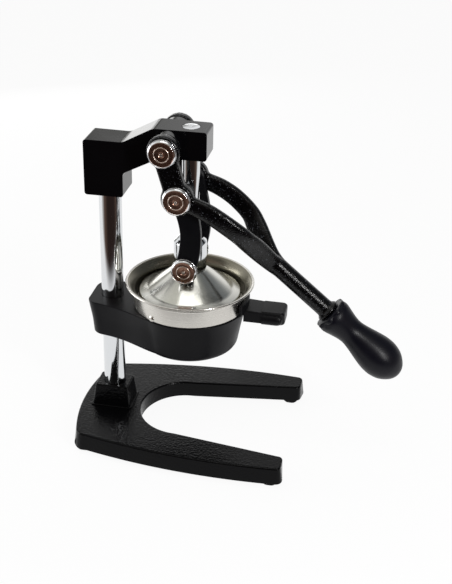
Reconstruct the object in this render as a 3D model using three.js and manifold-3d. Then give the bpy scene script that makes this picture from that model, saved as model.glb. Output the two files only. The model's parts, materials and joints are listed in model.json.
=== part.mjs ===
// Lever citrus juice press: cast base, column and head, toggle linkage, press cone and strainer bowl.
// Millimetres, +Z up, +X from the column to the lever's grip, the XZ plane is the mirror plane.
import * as THREE from 'three';
import { mergeVertices } from 'three/addons/utils/BufferGeometryUtils.js';
import Module from 'manifold-3d';

const wasm = await Module();
wasm.setup();

// Driving dimensions
const columnRadius = 11.3;
const ramRadius = 8.6;
const bandRadius = 56.8;
const potFootHeight = 107.5;
const potHeight = 43.7;
const bandHeight = 18.2;
const coneHeight = 21.8;
const linkDrop = 77.4;
const crankDrop = 45.7;
const baseTop = 22.9;

// Clearances
const fitGap = 0.3;
const overrun = 2;
const linkSideGap = 0.4;
const bowlSideGap = 0.7;
const bowlFootSideGap = 1.2;
const bowlFloorGap = 5.5;
const drainSideGap = 3.4;
const strainerSideGap = 0.8;
const coneSideGap = 4;
const coneSink = 4;
const rimToColumnGap = 4.7;
const handleToPotGap = 2;
const heelToPotGap = 0.4;

// Bowl: band, flared lip, body and drain, from the band's radius
const bowlWall = 1.2;
const lipFlare = 8.2;
const lipRise = 7;
const bandStep = 6.3;
const bodyTaper = 7.9;
const bowlFootRound = 3.6;
const bowlDishSink = 0.3;
const bowlShoulderDrop = 4.8;
const drainReach = 7.5;
const bowlDrainRadius = 8.6;
const bowlLipRadius = bandRadius + lipFlare;
const bowlBodyRadius = bandRadius - bandStep;
const bowlFootRadius = bowlBodyRadius - bodyTaper;
const pipRadius = 2.2;
const pipStand = 1;
const pipHeight = 2.6;
const pipAngle = THREE.MathUtils.degToRad(241);

// Holder: bracket round the column and the pot that carries the bowl
const potCornerRadius = 6.5;
const potFloor = 6;
const potFootWall = 6.2;
const potRimStand = 1.2;
const bracketRear = 21.4;
const bracketHalf = 25.4;
const bracketCornerRadius = 12;
const bracketRise = 4.5;
const bracketDraft = 4;
const potRimHeight = potFootHeight + potHeight;
const potRimRadius = bandRadius + potRimStand;
const potBoreRadius = bowlBodyRadius + bowlSideGap;
const potBoreFootRadius = bowlFootRadius + bowlFootSideGap;
const potFootRadius = potBoreFootRadius + potFootWall;
const potDrainRadius = bowlDrainRadius + drainSideGap;
const potFloorTop = potFootHeight + potFloor;
const bracketFoot = potFootHeight + bracketRise;
const bowlBandTop = potRimHeight + bandHeight;
const bowlLipHeight = bowlBandTop + lipRise;
const bowlFootHeight = potFloorTop + bowlFloorGap;
const bowlDrainFoot = potFootHeight - drainReach;

// Strainer
const strainerHeight = 25.6;
const strainerBrim = 10.8;
const strainerShoulder = 16;
const strainerWall = 1.2;
const strainerHoleRadius = 1.6;
const strainerHolesPerRow = 12;
const strainerRows = 2;
const strainerTop = potRimHeight + strainerHeight;
const strainerFlangeRadius = bandRadius - bowlWall - strainerSideGap;
const strainerBaseRadius = strainerFlangeRadius - strainerBrim;

// Press cone, from its rolled flange up to the crosshead
const coneBrim = 8.6;
const coneBrimRise = 3.1;
const coneHubInset = 0.2;
const coneWall = 1.8;
const coneLip = 2.1;
const coneScrewRadius = 4;
const coneScrewHead = 3.2;
const coneScrewAcross = 6.8;
const coneScrewEndGap = 4.3;
const coneWasherRadius = 9;
const coneFlangeRadius = bandRadius - bowlWall - coneSideGap;
const coneBaseRadius = coneFlangeRadius - coneBrim;
const coneFlangeHeight = bowlBandTop - coneSink;
const coneBaseHeight = coneFlangeHeight + coneBrimRise;
const coneTop = coneBaseHeight + coneHeight;

// Crosshead, its trunnions and the ram's seat in it
const crossheadWall = 7.8;
const crossheadHeight = 33.4;
const crossheadShoulder = 7.5;
const crossheadNeckRadius = 11.2;
const ramSeatDepth = 21;
const trunnionRadius = 8;
const trunnionStand = 2.3;
const wristHoleDepth = 6;
const crossheadRadius = ramRadius + crossheadWall;
const coneHubRadius = crossheadRadius - coneHubInset;
const crossheadBottom = coneTop + fitGap;
const crossheadTop = crossheadBottom + crossheadHeight;
const ramSeatHeight = crossheadTop - ramSeatDepth;
const trunnionHalf = crossheadRadius + trunnionStand;

// Pivots: places along the press and heights, from the ram and the crosshead upwards
const crankSetback = 5.4;
const pivotSetback = 19;
const ramReach = columnRadius + rimToColumnGap + bowlLipRadius;
const pivotReach = ramReach - pivotSetback;
const crankReach = ramReach - crankSetback;
const wristHeight = crossheadBottom + fitGap + trunnionRadius;
const crankHeight = wristHeight + linkDrop;
const pivotHeight = crankHeight + crankDrop;

// Base casting
const baseSkirtHeight = 5.5;
const baseDraft = 2.2;
const baseEdgeRadius = 1.8;
const baseRearCorner = -21;
const baseRearBow = 13;
const baseRearHalf = 73;
const baseSideSwell = 7.4;
const baseSideBulgeReach = 85;
const baseToeRadius = 6;
const baseToeLength = 116.5;
const baseToeWidth = 23.1;
const baseHeelRadius = 9;
const gapSetback = 5;
const gapDepth = 46.5;
const gapHalf = 49.3;
const gapSplay = 16;
const baseTopWall = 7.5;
const baseSideWall = 7;
const footRadius = 9.5;
const footWidth = 17;
const footInset = 1.2;
const frontFootSetback = 11;
const rearFootReach = -16;
const rearFootHalf = 60;
const gapCentreReach = ramReach - gapSetback;
const baseFront = gapCentreReach + baseToeLength;
const baseToeInnerHalf = gapHalf + gapSplay;
const baseFrontHalf = baseToeInnerHalf + baseToeWidth;
const baseSideBulge = baseFrontHalf + baseSideSwell;
const frontFootReach = baseFront - frontFootSetback;

// Column boss on the base
const bossRearFoot = 21;
const bossFrontFoot = 20;
const bossFootHalf = 16.5;
const bossDraft = 3;
const bossHeight = 47;
const bossEdgeRadius = 2.2;
const bossPadRadius = 20;
const bossPadHeight = 10;
const bossSocketFloor = 15;
const boltRadius = 4;
const boltHeadAcross = 7.4;
const boltHeadHeight = 5.4;
const boltWasherRadius = 10;
const boltWasherThickness = 1.6;
const boltReach = 26;

// Head casting, from the pivot outwards
const headRise = 15.5;
const headStep = 16;
const headClampHeight = 56;
const headGuideHeight = 28.5;
const headArmStart = 24.7;
const headArmEndDrop = 4.4;
const headArmEndSetback = 16;
const headStepSetback = 14.6;
const headNose = 18.1;
const headRear = 20.7;
const headBlockFront = 17.8;
const headRearHalf = 17.2;
const headFrontHalf = 15.2;
const headEdgeRadius = 2;
const headCornerRadius = 3.5;
const headSocketDepth = 12;
const headTop = pivotHeight + headRise;
const headRearTop = headTop - headStep;
const headRearBottom = headRearTop - headClampHeight;
const headFrontBottom = headTop - headGuideHeight;
const headFront = ramReach + headNose;
const headArmStartHeight = headRearBottom + headArmStart;
const headArmEndHeight = headFrontBottom - headArmEndDrop;
const headArmEndReach = pivotReach - headArmEndSetback;
const headTopStepReach = pivotReach - headStepSetback;

// Set screws at the rear of the clamp blocks
const grubRadius = 3;
const grubSocketRadius = 1.7;
const grubSocketDepth = 3;
const grubInset = 1;

// Links
const linkThickness = 7.6;
const linkCrankEyeRadius = 13.8;
const linkWristRim = 2.6;
const linkHalfWidth = 10.2;
const linkBulge = 8.1;
const linkEdgeRadius = 1.2;
const linkWristEyeRadius = trunnionRadius + linkWristRim;
const linkInnerHalf = trunnionHalf + fitGap;
const linkOuterHalf = linkInnerHalf + linkThickness;

// Lever fork
const cheekThickness = 11;
const leverEyeRadius = 16.2;
const leverLimbHalf = 11;
const leverEdgeRadius = 2.2;
const armInset = 0.1;
const armBow = 0.7;
const armDepth = 19;
const rodRadius = 9.3;
const rodAngle = THREE.MathUtils.degToRad(39.8);
const rodRun = 87;
const rodDrop = 73.9;
const rodLength = 71;
const collarRadius = 12.4;
const collarLength = 4;
const studRadius = 5;
const studDepth = 18;
const studReach = 52;
const leverInnerHalf = linkOuterHalf + linkSideGap;
const leverOuterHalf = leverInnerHalf + cheekThickness;
const armWidth = cheekThickness - 2 * armInset;
const armHalf = (leverInnerHalf + leverOuterHalf) / 2 + armBow;
const rodStartReach = ramReach + rodRun;
const rodStartHeight = crankHeight - rodDrop;

// Grip
const gripLength = 96;
const gripFlangeRadius = 17.6;
const gripFlangeLobe = 0.9;
const gripLobes = 8;
const gripFlangeLength = 5.5;
const gripNeckRadius = 13.8;
const gripBulbRadius = 20.5;

// Pivot pin, caps and washers
const pinRadius = 6;
const screwRadius = 5;
const stubRadius = 3.2;
const capRadius = 13.5;
const capThickness = 3;
const wristCapRadius = 12.6;
const wristCapThickness = 3.9;
const washerThickness = 1.2;
const washerOverlap = 0.5;
const capBevel = 1.1;
const capGrooveRadius = 8.2;
const capGrooveWidth = 1.1;
const capGrooveDepth = 0.5;
const pivotBossRadius = 15;
const pivotBossInset = 0.5;
const pivotBossHalf = leverInnerHalf - pivotBossInset;
const capHalf = leverOuterHalf + washerThickness + 2 * fitGap + capThickness;
const wristCapHalf = linkOuterHalf + washerThickness + 2 * fitGap + wristCapThickness;

// Bowl handle and its strap
const handleHalf = 13.8;
const handleRise = 2;
const handleThickness = 10.4;
const handleNeckLength = 15.4;
const handleGripLength = 23.6;
const handleGripExtra = 1.1;
const handleCorner = 5;
const handleEdgeRadius = 1.6;
const heelHalf = 21;
const heelDepth = 3.4;
const heelSink = 6;
const saddleHalf = 9.6;
const saddleReach = 66;
const saddleRise = 4.7;
const strapThickness = 1.3;
const strapHalf = 7.5;
const strapInset = 7;
const strapSink = 5;
const strapHeelSink = 2.1;
const handleScrewSetback = 9.6;
const handleScrewRadius = 1.7;
const handleScrewHeadRadius = 3.4;
const handleScrewHeadHeight = 2;
const handleTop = potRimHeight + handleRise;
const handleStart = potRimRadius + handleToPotGap;
const handleGripStart = handleStart + handleNeckLength;
const handleEnd = handleGripStart + handleGripLength;
const heelFoot = potRimHeight + heelToPotGap;
const heelTop = bowlBandTop - heelSink;
const strapReach = handleEnd - strapInset;
const strapLevel = handleTop - strapSink;
const strapTop = heelTop - strapHeelSink;
const handleScrewReach = handleGripStart + handleScrewSetback;

// Mesh density
const fineSides = 40;
const roundSides = 24;
const smallSides = 16;

// Finishes
const blackCoat = new THREE.MeshStandardMaterial({ color: 0x141416, roughness: 0.32, metalness: 0.1 });
const satinCoat = new THREE.MeshStandardMaterial({ color: 0x202024, roughness: 0.5, metalness: 0.1 });
const hammeredCoat = new THREE.MeshStandardMaterial({ color: 0x101012, roughness: 0.45, metalness: 0.15 });
const chrome = new THREE.MeshStandardMaterial({ color: 0xc9cbce, roughness: 0.08, metalness: 1 });
const zincSteel = new THREE.MeshStandardMaterial({ color: 0x9c9fa3, roughness: 0.35, metalness: 1 });
const stainless = new THREE.MeshStandardMaterial({ color: 0xc8c3b8, roughness: 0.25, metalness: 1 });
const spunAluminium = new THREE.MeshStandardMaterial({ color: 0xcfd0cc, roughness: 0.28, metalness: 1 });
const plastic = new THREE.MeshStandardMaterial({ color: 0x17171b, roughness: 0.38, metalness: 0 });

const group = new THREE.Group();

// Adds one named sub-part
function addPart(name, geometry, material) {
  const mesh = new THREE.Mesh(tidy(geometry), material);
  mesh.name = name;
  group.add(mesh);
}

// Merges shared corners, drops flat triangles and turns the faces outwards
function tidy(source) {
  const geometry = source.clone();
  geometry.deleteAttribute('normal');
  geometry.deleteAttribute('uv');
  const merged = mergeVertices(geometry);
  const index = Array.from(merged.index.array);
  const kept = [];
  for (let i = 0; i < index.length; i += 3) {
    const [a, b, c] = index.slice(i, i + 3);
    if (a !== b && b !== c && c !== a) kept.push(a, b, c);
  }
  merged.setIndex(signedVolume(merged, kept) < 0 ? kept.reverse() : kept);
  return merged;
}

function signedVolume(geometry, index) {
  const place = geometry.attributes.position;
  const corner = [new THREE.Vector3(), new THREE.Vector3(), new THREE.Vector3()];
  let volume = 0;
  for (let i = 0; i < index.length; i += 3) {
    corner.forEach((point, k) => point.fromBufferAttribute(place, index[i + k]));
    volume += corner[0].dot(corner[1].clone().cross(corner[2]));
  }
  return volume;
}

// Boolean work on closed meshes
function solid(geometry) {
  const clean = tidy(geometry);
  const mesh = new wasm.Mesh({
    numProp: 3,
    vertProperties: new Float32Array(clean.attributes.position.array),
    triVerts: new Uint32Array(clean.index.array),
  });
  return new wasm.Manifold(mesh);
}

function meshOf(body) {
  const mesh = body.getMesh();
  const geometry = new THREE.BufferGeometry();
  geometry.setAttribute('position', new THREE.BufferAttribute(new Float32Array(mesh.vertProperties), 3));
  geometry.setIndex(Array.from(mesh.triVerts));
  return geometry;
}

function join(...geometries) {
  return meshOf(geometries.map(solid).reduce((sum, body) => sum.add(body)));
}

function cut(geometry, ...tools) {
  return meshOf(tools.map(solid).reduce((rest, tool) => rest.subtract(tool), solid(geometry)));
}

// Closed skin through rings of equal point count, capped flat at both ends
function skin(rings) {
  const count = rings[0].length;
  const points = rings.flat();
  const index = [];
  for (let r = 0; r + 1 < rings.length; r += 1) {
    for (let i = 0; i < count; i += 1) {
      const a = r * count + i;
      const b = r * count + ((i + 1) % count);
      index.push(a, b, b + count, a, b + count, a + count);
    }
  }
  const last = (rings.length - 1) * count;
  capTriangles(rings[0]).forEach(([a, b, c]) => index.push(a, c, b));
  capTriangles(rings[rings.length - 1]).forEach(([a, b, c]) => index.push(last + a, last + b, last + c));
  const geometry = new THREE.BufferGeometry().setFromPoints(points);
  geometry.setIndex(index);
  return geometry;
}

// Triangles of a planar ring, in the ring's own winding
function capTriangles(ring) {
  const centre = ring.reduce((sum, p) => sum.add(p), new THREE.Vector3()).divideScalar(ring.length);
  const normal = new THREE.Vector3();
  ring.forEach((p, i) => {
    const next = ring[(i + 1) % ring.length];
    normal.add(p.clone().sub(centre).cross(next.clone().sub(centre)));
  });
  normal.normalize();
  const across = ring[0].clone().sub(centre).projectOnPlane(normal).normalize();
  const along = normal.clone().cross(across);
  const flat = ring.map((p) => {
    const offset = p.clone().sub(centre);
    return new THREE.Vector2(offset.dot(across), offset.dot(along));
  });
  return THREE.ShapeUtils.triangulateShape(flat, []);
}

// Ring of a plan outline at a height; offsetAt says how far each of its points moves outwards
function planRing(outline, height, offsetAt = () => 0) {
  const count = outline.length;
  return outline.map((point, i) => {
    const before = outline[(i + count - 1) % count];
    const after = outline[(i + 1) % count];
    const along = after.clone().sub(before).normalize();
    const offset = offsetAt(point);
    return new THREE.Vector3(point.x + along.y * offset, point.y - along.x * offset, height);
  });
}

// Lathe turned about the vertical axis; the profile holds [radius, height] pairs
function turned(profile, sides = fineSides) {
  const points = profile.map(([radius, height]) => new THREE.Vector2(radius, height));
  return new THREE.LatheGeometry(points, sides).rotateX(Math.PI / 2);
}

// Ring-shaped turned piece, whose profile closes on itself
function turnedRing(profile, sides = fineSides) {
  return turned([...profile, profile[0]], sides);
}

// Upright round bar between two heights
function upright(radius, low, high, sides = roundSides) {
  return new THREE.CylinderGeometry(radius, radius, high - low, sides)
    .rotateX(Math.PI / 2)
    .translate(0, 0, (low + high) / 2);
}

// Round bar across the press, between two places along Y
function crossBar(radius, x, z, low, high, sides = roundSides) {
  return new THREE.CylinderGeometry(radius, radius, high - low, sides).translate(x, (low + high) / 2, z);
}

function block(low, high) {
  const size = high.map((value, i) => value - low[i]);
  return new THREE.BoxGeometry(...size).translate(...low.map((value, i) => value + size[i] / 2));
}

// Plate drawn in the XZ plane, between two places along Y, with rounded rims
function plate(shape, low, high, rim = 0, steps = 2, curve = 8) {
  const settings = {
    depth: high - low - 2 * rim,
    bevelEnabled: rim > 0,
    bevelThickness: rim,
    bevelSize: rim,
    bevelOffset: -rim,
    bevelSegments: steps,
    curveSegments: curve,
  };
  return new THREE.ExtrudeGeometry(shape, settings).rotateX(Math.PI / 2).translate(0, high - rim, 0);
}

// Polygon with its corners rounded
function roundedOutline(corners, radius) {
  const shape = new THREE.Shape();
  corners.forEach((corner, i) => {
    const before = corners[(i + corners.length - 1) % corners.length];
    const after = corners[(i + 1) % corners.length];
    const inwards = pointTowards(corner, before, radius);
    const outwards = pointTowards(corner, after, radius);
    if (i === 0) shape.moveTo(...inwards);
    else shape.lineTo(...inwards);
    shape.quadraticCurveTo(...corner, ...outwards);
  });
  shape.closePath();
  return shape;
}

function outlinePoints(corners, radius) {
  return withoutRepeats(roundedOutline(corners, radius).getPoints(3));
}

function pointTowards(from, to, distance) {
  const line = new THREE.Vector2(to[0] - from[0], to[1] - from[1]);
  const reach = Math.min(distance, line.length() / 2 - fitGap / 2);
  line.setLength(reach);
  return [from[0] + line.x, from[1] + line.y];
}

// Mirror image across the XZ plane
function mirrored(geometry) {
  return tidy(geometry.clone().scale(1, -1, 1));
}

function addPair(name, geometry, material) {
  addPart(`${name}_near`, mirrored(geometry), material);
  addPart(`${name}_far`, geometry, material);
}

// Hexagonal prism, upright
function hexagon(across, low, high) {
  return upright(across, low, high, 6);
}

// Plan outline of the base, drawn in from its top edge by an inset
function baseOutline(inset = 0) {
  const shape = new THREE.Shape();
  const rear = baseRearCorner + inset;
  const rearHalf = baseRearHalf - inset;
  const front = baseFront - inset;
  const frontHalf = baseFrontHalf - inset;
  const innerHalf = baseToeInnerHalf + inset;
  const bulge = baseSideBulge - inset;
  const toe = inset > 0 ? baseEdgeRadius : baseToeRadius;
  const heel = inset > 0 ? baseEdgeRadius : baseHeelRadius;
  const bowRadius = (baseRearHalf ** 2 + baseRearBow ** 2) / (2 * baseRearBow);
  const bowAngle = Math.asin((rearHalf - heel) / bowRadius);
  const bowCentre = rear - baseRearBow + bowRadius;
  const heelX = bowCentre - bowRadius * Math.cos(bowAngle);
  shape.moveTo(rear + heel, -rearHalf);
  shape.quadraticCurveTo(baseSideBulgeReach, -bulge, front - toe, -frontHalf);
  shape.quadraticCurveTo(front, -frontHalf, front, -frontHalf + toe);
  shape.lineTo(front, -innerHalf - toe);
  shape.quadraticCurveTo(front, -innerHalf, front - toe, -innerHalf);
  shape.lineTo(gapCentreReach, -gapHalf - inset);
  shape.absellipse(gapCentreReach, 0, gapDepth + inset, gapHalf + inset, -Math.PI / 2, Math.PI / 2, true);
  shape.lineTo(front - toe, innerHalf);
  shape.quadraticCurveTo(front, innerHalf, front, innerHalf + toe);
  shape.lineTo(front, frontHalf - toe);
  shape.quadraticCurveTo(front, frontHalf, front - toe, frontHalf);
  shape.quadraticCurveTo(baseSideBulgeReach, bulge, rear + heel, rearHalf);
  shape.quadraticCurveTo(rear, rearHalf, heelX, rearHalf - heel);
  shape.absarc(bowCentre, 0, bowRadius, Math.PI - bowAngle, Math.PI + bowAngle, false);
  shape.quadraticCurveTo(rear, -rearHalf, rear + heel, -rearHalf);
  return withoutRepeats(shape.getPoints(8));
}

function withoutRepeats(points) {
  const least = fitGap / 3;
  const kept = points.filter((point, i) => i === 0 || point.distanceTo(points[i - 1]) > least);
  while (kept[0].distanceTo(kept[kept.length - 1]) < least) kept.pop();
  return kept;
}

// One half-round foot cast under the base, cut flat where it stands
function foot(x, y) {
  return crossBar(footRadius, x, footRadius - footInset, y - footWidth / 2, y + footWidth / 2, smallSides);
}

// The outer sides splay towards the floor, the walls of the gap stand upright
function skirtDraft(point) {
  const alongGap = point.x > gapCentreReach - gapDepth - baseSideWall;
  const outside = baseFrontHalf - baseToeRadius;
  const share = THREE.MathUtils.smoothstep(Math.abs(point.y), baseToeInnerHalf, outside);
  return alongGap ? share * baseDraft : baseDraft;
}

function baseCasting() {
  const outline = baseOutline();
  const shell = skin([
    planRing(outline, baseSkirtHeight, skirtDraft),
    planRing(outline, baseTop - baseEdgeRadius),
    planRing(outline, baseTop - baseEdgeRadius * 0.3, () => -baseEdgeRadius * 0.3),
    planRing(outline, baseTop, () => -baseEdgeRadius),
  ]);
  const cavity = baseOutline(baseSideWall);
  const hollow = skin([
    planRing(cavity, -overrun, skirtDraft),
    planRing(cavity, baseTop - baseTopWall),
  ]);
  const frontFootY = (baseFrontHalf + baseToeInnerHalf) / 2;
  const feet = [
    foot(frontFootReach, -frontFootY),
    foot(frontFootReach, frontFootY),
    foot(rearFootReach, -rearFootHalf),
    foot(rearFootReach, rearFootHalf),
  ];
  const pad = upright(bossPadRadius, bossPadHeight, baseTop - baseEdgeRadius);
  const body = join(cut(shell, hollow), columnBoss(), pad, ...feet);
  const floor = block([-baseFront, -2 * baseFrontHalf, -footRadius], [2 * baseFront, 2 * baseFrontHalf, 0]);
  const socket = upright(columnRadius + fitGap, bossSocketFloor, bossHeight + overrun);
  const boltHole = upright(boltRadius + fitGap, 0, bossSocketFloor + overrun, smallSides);
  addPart('base_casting', cut(body, floor, socket, boltHole), blackCoat);
}

// Drafted square boss that takes the column's foot
function columnBoss() {
  const corners = (draft) => [
    [-bossRearFoot + draft, -bossFootHalf + draft],
    [bossFrontFoot - draft, -bossFootHalf + draft],
    [bossFrontFoot - draft, bossFootHalf - draft],
    [-bossRearFoot + draft, bossFootHalf - draft],
  ];
  const ring = (draft, height) => planRing(outlinePoints(corners(draft), bossEdgeRadius), height);
  return skin([
    ring(0, baseTop - baseEdgeRadius),
    ring(bossDraft, bossHeight - bossEdgeRadius / 2),
    ring(bossDraft + bossEdgeRadius / 2, bossHeight),
  ]);
}

function columnAndBolt() {
  const foot = bossSocketFloor + fitGap;
  const top = headRearTop - headSocketDepth - fitGap;
  const tube = upright(columnRadius, foot, top, fineSides);
  const tappedHole = upright(boltRadius + fitGap, foot - overrun, foot + boltReach + overrun, smallSides);
  addPart('column', cut(tube, tappedHole), chrome);

  const washerTop = bossPadHeight - fitGap;
  const washerFoot = washerTop - boltWasherThickness;
  const washer = cut(
    upright(boltWasherRadius, washerFoot, washerTop, roundSides),
    upright(boltRadius + fitGap, washerFoot - overrun, washerTop + overrun, smallSides),
  );
  addPart('column_bolt_washer', washer, zincSteel);

  const headTopFace = washerFoot - fitGap;
  const bolt = join(
    hexagon(boltHeadAcross, headTopFace - boltHeadHeight, headTopFace),
    upright(boltRadius, headTopFace - fitGap, foot + boltReach, smallSides),
  );
  addPart('column_bolt', bolt, zincSteel);
}

// Cast head: clamp block on the column, sloping arm and ram guide block
function headCasting() {
  const corners = [
    [-headRear, headRearBottom],
    [headBlockFront, headRearBottom],
    [headBlockFront, headArmStartHeight],
    [headArmEndReach, headArmEndHeight],
    [headArmEndReach + headCornerRadius, headFrontBottom],
    [headFront, headFrontBottom],
    [headFront, headTop],
    [headTopStepReach, headTop],
    [headBlockFront, headRearTop],
    [-headRear, headRearTop],
  ];
  const side = roundedOutline(corners, headCornerRadius);
  const slab = plate(side, -headRearHalf, headRearHalf, headEdgeRadius, 2, 3);
  taperInPlan(slab);
  const boss = crossBar(pivotBossRadius, pivotReach, pivotHeight, -pivotBossHalf, pivotBossHalf, roundSides);
  const ramBore = upright(ramRadius + fitGap, headRearBottom, headTop + overrun).translate(ramReach, 0, 0);
  const socket = upright(columnRadius + fitGap, headRearBottom - overrun, headRearTop - headSocketDepth);
  const pinBore = crossBar(pinRadius + fitGap, pivotReach, pivotHeight, -capHalf, capHalf, smallSides);
  const screwHole = grubBore(headRear, headScrewHeight());
  addPart('head_casting', cut(join(slab, boss), ramBore, socket, pinBore, screwHole), blackCoat);
}

function headScrewHeight() {
  return (headRearBottom + headRearTop) / 2;
}

// Narrows the head from its clamp block to its guide block
function taperInPlan(geometry) {
  const place = geometry.attributes.position;
  for (let i = 0; i < place.count; i += 1) {
    const share = (place.getX(i) + headRear) / (headFront + headRear);
    const half = THREE.MathUtils.lerp(headRearHalf, headFrontHalf, share);
    place.setY(i, (place.getY(i) * half) / headRearHalf);
  }
}

// Threaded hole at the rear of a clamp block, and its set screw
function grubBore(rear, height) {
  return new THREE.CylinderGeometry(grubRadius + fitGap, grubRadius + fitGap, rear, smallSides)
    .rotateZ(Math.PI / 2)
    .translate(-rear / 2 - columnRadius + fitGap, 0, height);
}

function grubScrew(name, rear, height) {
  const inner = columnRadius + fitGap;
  const length = rear - grubInset - inner;
  const centre = -inner - length / 2;
  const body = new THREE.CylinderGeometry(grubRadius, grubRadius, length, smallSides).rotateZ(Math.PI / 2);
  const socket = new THREE.CylinderGeometry(grubSocketRadius, grubSocketRadius, 2 * grubSocketDepth, 6)
    .rotateZ(Math.PI / 2)
    .translate(-length / 2, 0, 0);
  addPart(name, cut(body, socket).translate(centre, 0, height), zincSteel);
}

// Domed cap face turned about its own axis, outer face towards +Y
function cap(radius, thickness, shankRadius, shankLength) {
  const groove = capGrooveRadius * (radius / capRadius);
  const profile = [
    [0, -shankLength],
    [shankRadius, -shankLength],
    [shankRadius, 0],
    [radius, 0],
    [radius, thickness - capBevel],
    [radius - capBevel, thickness],
    [groove + capGrooveWidth, thickness],
    [groove, thickness - capGrooveDepth],
    [groove - capGrooveWidth, thickness],
    [0, thickness],
  ];
  return turned(profile, roundSides).rotateX(-Math.PI / 2);
}

function ringWasher(radius, bore) {
  const disc = new THREE.CylinderGeometry(radius, radius, washerThickness, roundSides);
  const hole = new THREE.CylinderGeometry(bore, bore, 4 * washerThickness, smallSides);
  return cut(disc, hole).translate(0, washerThickness / 2, 0);
}

function pivotJoint() {
  const washerStart = leverOuterHalf + fitGap;
  const pinEnd = capHalf - capThickness - fitGap;
  const pin = crossBar(pinRadius, pivotReach, pivotHeight, -pinEnd, pinEnd, roundSides);
  const stubBore = stubRadius + fitGap;
  const holeFar = crossBar(stubBore, pivotReach, pivotHeight, leverInnerHalf, pinEnd + overrun, smallSides);
  addPart('pivot_pin', cut(pin, holeFar, mirrored(holeFar)), zincSteel);
  const ring = ringWasher(capRadius + washerOverlap, pinRadius + fitGap);
  addPair('pivot_washer', ring.translate(pivotReach, washerStart, pivotHeight), chrome);
  const stub = pinEnd - leverInnerHalf - overrun;
  const face = cap(capRadius, capThickness, stubRadius, stub);
  addPair('pivot_cap', face.translate(pivotReach, capHalf - capThickness, pivotHeight), chrome);
}

// Shoulder screw with a cap head, from the cap inwards to a place along Y, and its washer
function jointScrew(name, x, z, seat, half, radius, thickness, innerEnd) {
  const shank = half - thickness - innerEnd;
  const screw = cap(radius, thickness, screwRadius, shank).translate(x, half - thickness, z);
  addPair(`${name}_screw`, screw, chrome);
  const ring = ringWasher(radius + washerOverlap, screwRadius + fitGap).translate(x, seat + fitGap, z);
  addPair(`${name}_washer`, ring, chrome);
}

// Rounded-rectangle section of the fork's arms, in unit shares
const sectionShares = [];
for (let i = 0; i < 14; i += 1) {
  const turn = (2 * Math.PI * i) / 14;
  const bulge = (value) => Math.sign(value) * Math.abs(value) ** 0.7;
  sectionShares.push([bulge(Math.cos(turn)), bulge(Math.sin(turn))]);
}

// Course of one arm: shares of its reach, of its distance from the mirror plane, of its drop and of its depth
const armCourseShares = [
  [-0.04, 0.98, -0.02, 0.86],
  [0.156, 0.985, 0.075, 0.9],
  [0.318, 1, 0.156, 0.97],
  [0.48, 0.985, 0.281, 1],
  [0.64, 0.86, 0.445, 1.02],
  [0.72, 0.67, 0.57, 1.1],
  [0.784, 0.455, 0.685, 1.18],
  [0.84, 0.24, 0.79, 1.17],
  [0.892, 0.08, 0.89, 1.05],
  [1.02, 0, 1.02, 0.94],
];

function forkArm() {
  const reach = rodStartReach - crankReach;
  const drop = crankHeight - rodStartHeight;
  const centres = armCourseShares.map(
    ([x, y, z]) => new THREE.Vector3(crankReach + x * reach, y * armHalf, crankHeight - z * drop),
  );
  const rings = centres.map((centre, i) => {
    const before = centres[Math.max(i - 1, 0)];
    const after = centres[Math.min(i + 1, centres.length - 1)];
    const along = after.clone().sub(before).normalize();
    const across = new THREE.Vector3(0, 1, 0).projectOnPlane(along).normalize();
    const up = across.clone().cross(along);
    const depth = armDepth * armCourseShares[i][3];
    return sectionShares.map(([a, b]) =>
      centre
        .clone()
        .addScaledVector(across, (a * armWidth) / 2)
        .addScaledVector(up, (b * depth) / 2),
    );
  });
  return skin(rings);
}

// Limb of one lever cheek, from the head pivot to the crank screw
function forkLimb() {
  const pivot = new THREE.Vector2(pivotReach, pivotHeight);
  const crank = new THREE.Vector2(crankReach, crankHeight);
  const along = crank.clone().sub(pivot).normalize();
  const side = new THREE.Vector2(-along.y, along.x).multiplyScalar(leverLimbHalf);
  const bar = new THREE.Shape([
    pivot.clone().add(side),
    pivot.clone().sub(side),
    crank.clone().sub(side),
    crank.clone().add(side),
  ]);
  const eye = (centre) => new THREE.Shape().absarc(centre.x, centre.y, leverEyeRadius, 0, 2 * Math.PI, false);
  const cheek = (shape) => plate(shape, leverInnerHalf, leverOuterHalf, leverEdgeRadius, 1, 10);
  return join(cheek(bar), cheek(eye(pivot)), cheek(eye(crank)));
}

// Turned piece laid along the rod's axis, zero where the rod begins
function alongRod(geometry) {
  return geometry.rotateY(Math.PI / 2 + rodAngle).translate(rodStartReach, 0, rodStartHeight);
}

function leverFork() {
  const rod = turned([
    [0, -rodRadius],
    [rodRadius * 0.8, -rodRadius * 0.7],
    [rodRadius, 0],
    [rodRadius, rodLength - collarLength],
    [collarRadius, rodLength - collarLength * 0.7],
    [collarRadius, rodLength - collarLength * 0.3],
    [collarRadius - collarLength * 0.3, rodLength],
    [0, rodLength],
  ], roundSides);
  const cheek = join(forkLimb(), forkArm());
  const crankBore = crossBar(screwRadius + fitGap, crankReach, crankHeight, -capHalf, capHalf, smallSides);
  const pivotBore = crossBar(pinRadius + fitGap, pivotReach, pivotHeight, -capHalf, capHalf, smallSides);
  const studBore = upright(studRadius + fitGap, rodLength - studDepth, rodLength + overrun, smallSides);
  const body = join(cheek, mirrored(cheek), alongRod(rod));
  addPart('lever_fork', cut(body, crankBore, pivotBore, alongRod(studBore)), hammeredCoat);
}

// Grip profile: shares of its length and of the bulb's radius
const gripShares = [
  [0.08, 0.88],
  [0.17, 0.785],
  [0.25, 0.7],
  [0.325, 0.67],
  [0.417, 0.74],
  [0.509, 0.844],
  [0.59, 0.93],
  [0.662, 0.985],
  [0.75, 0.99],
  [0.836, 0.9],
  [0.9, 0.742],
  [0.958, 0.51],
  [0.99, 0.26],
];

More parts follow.
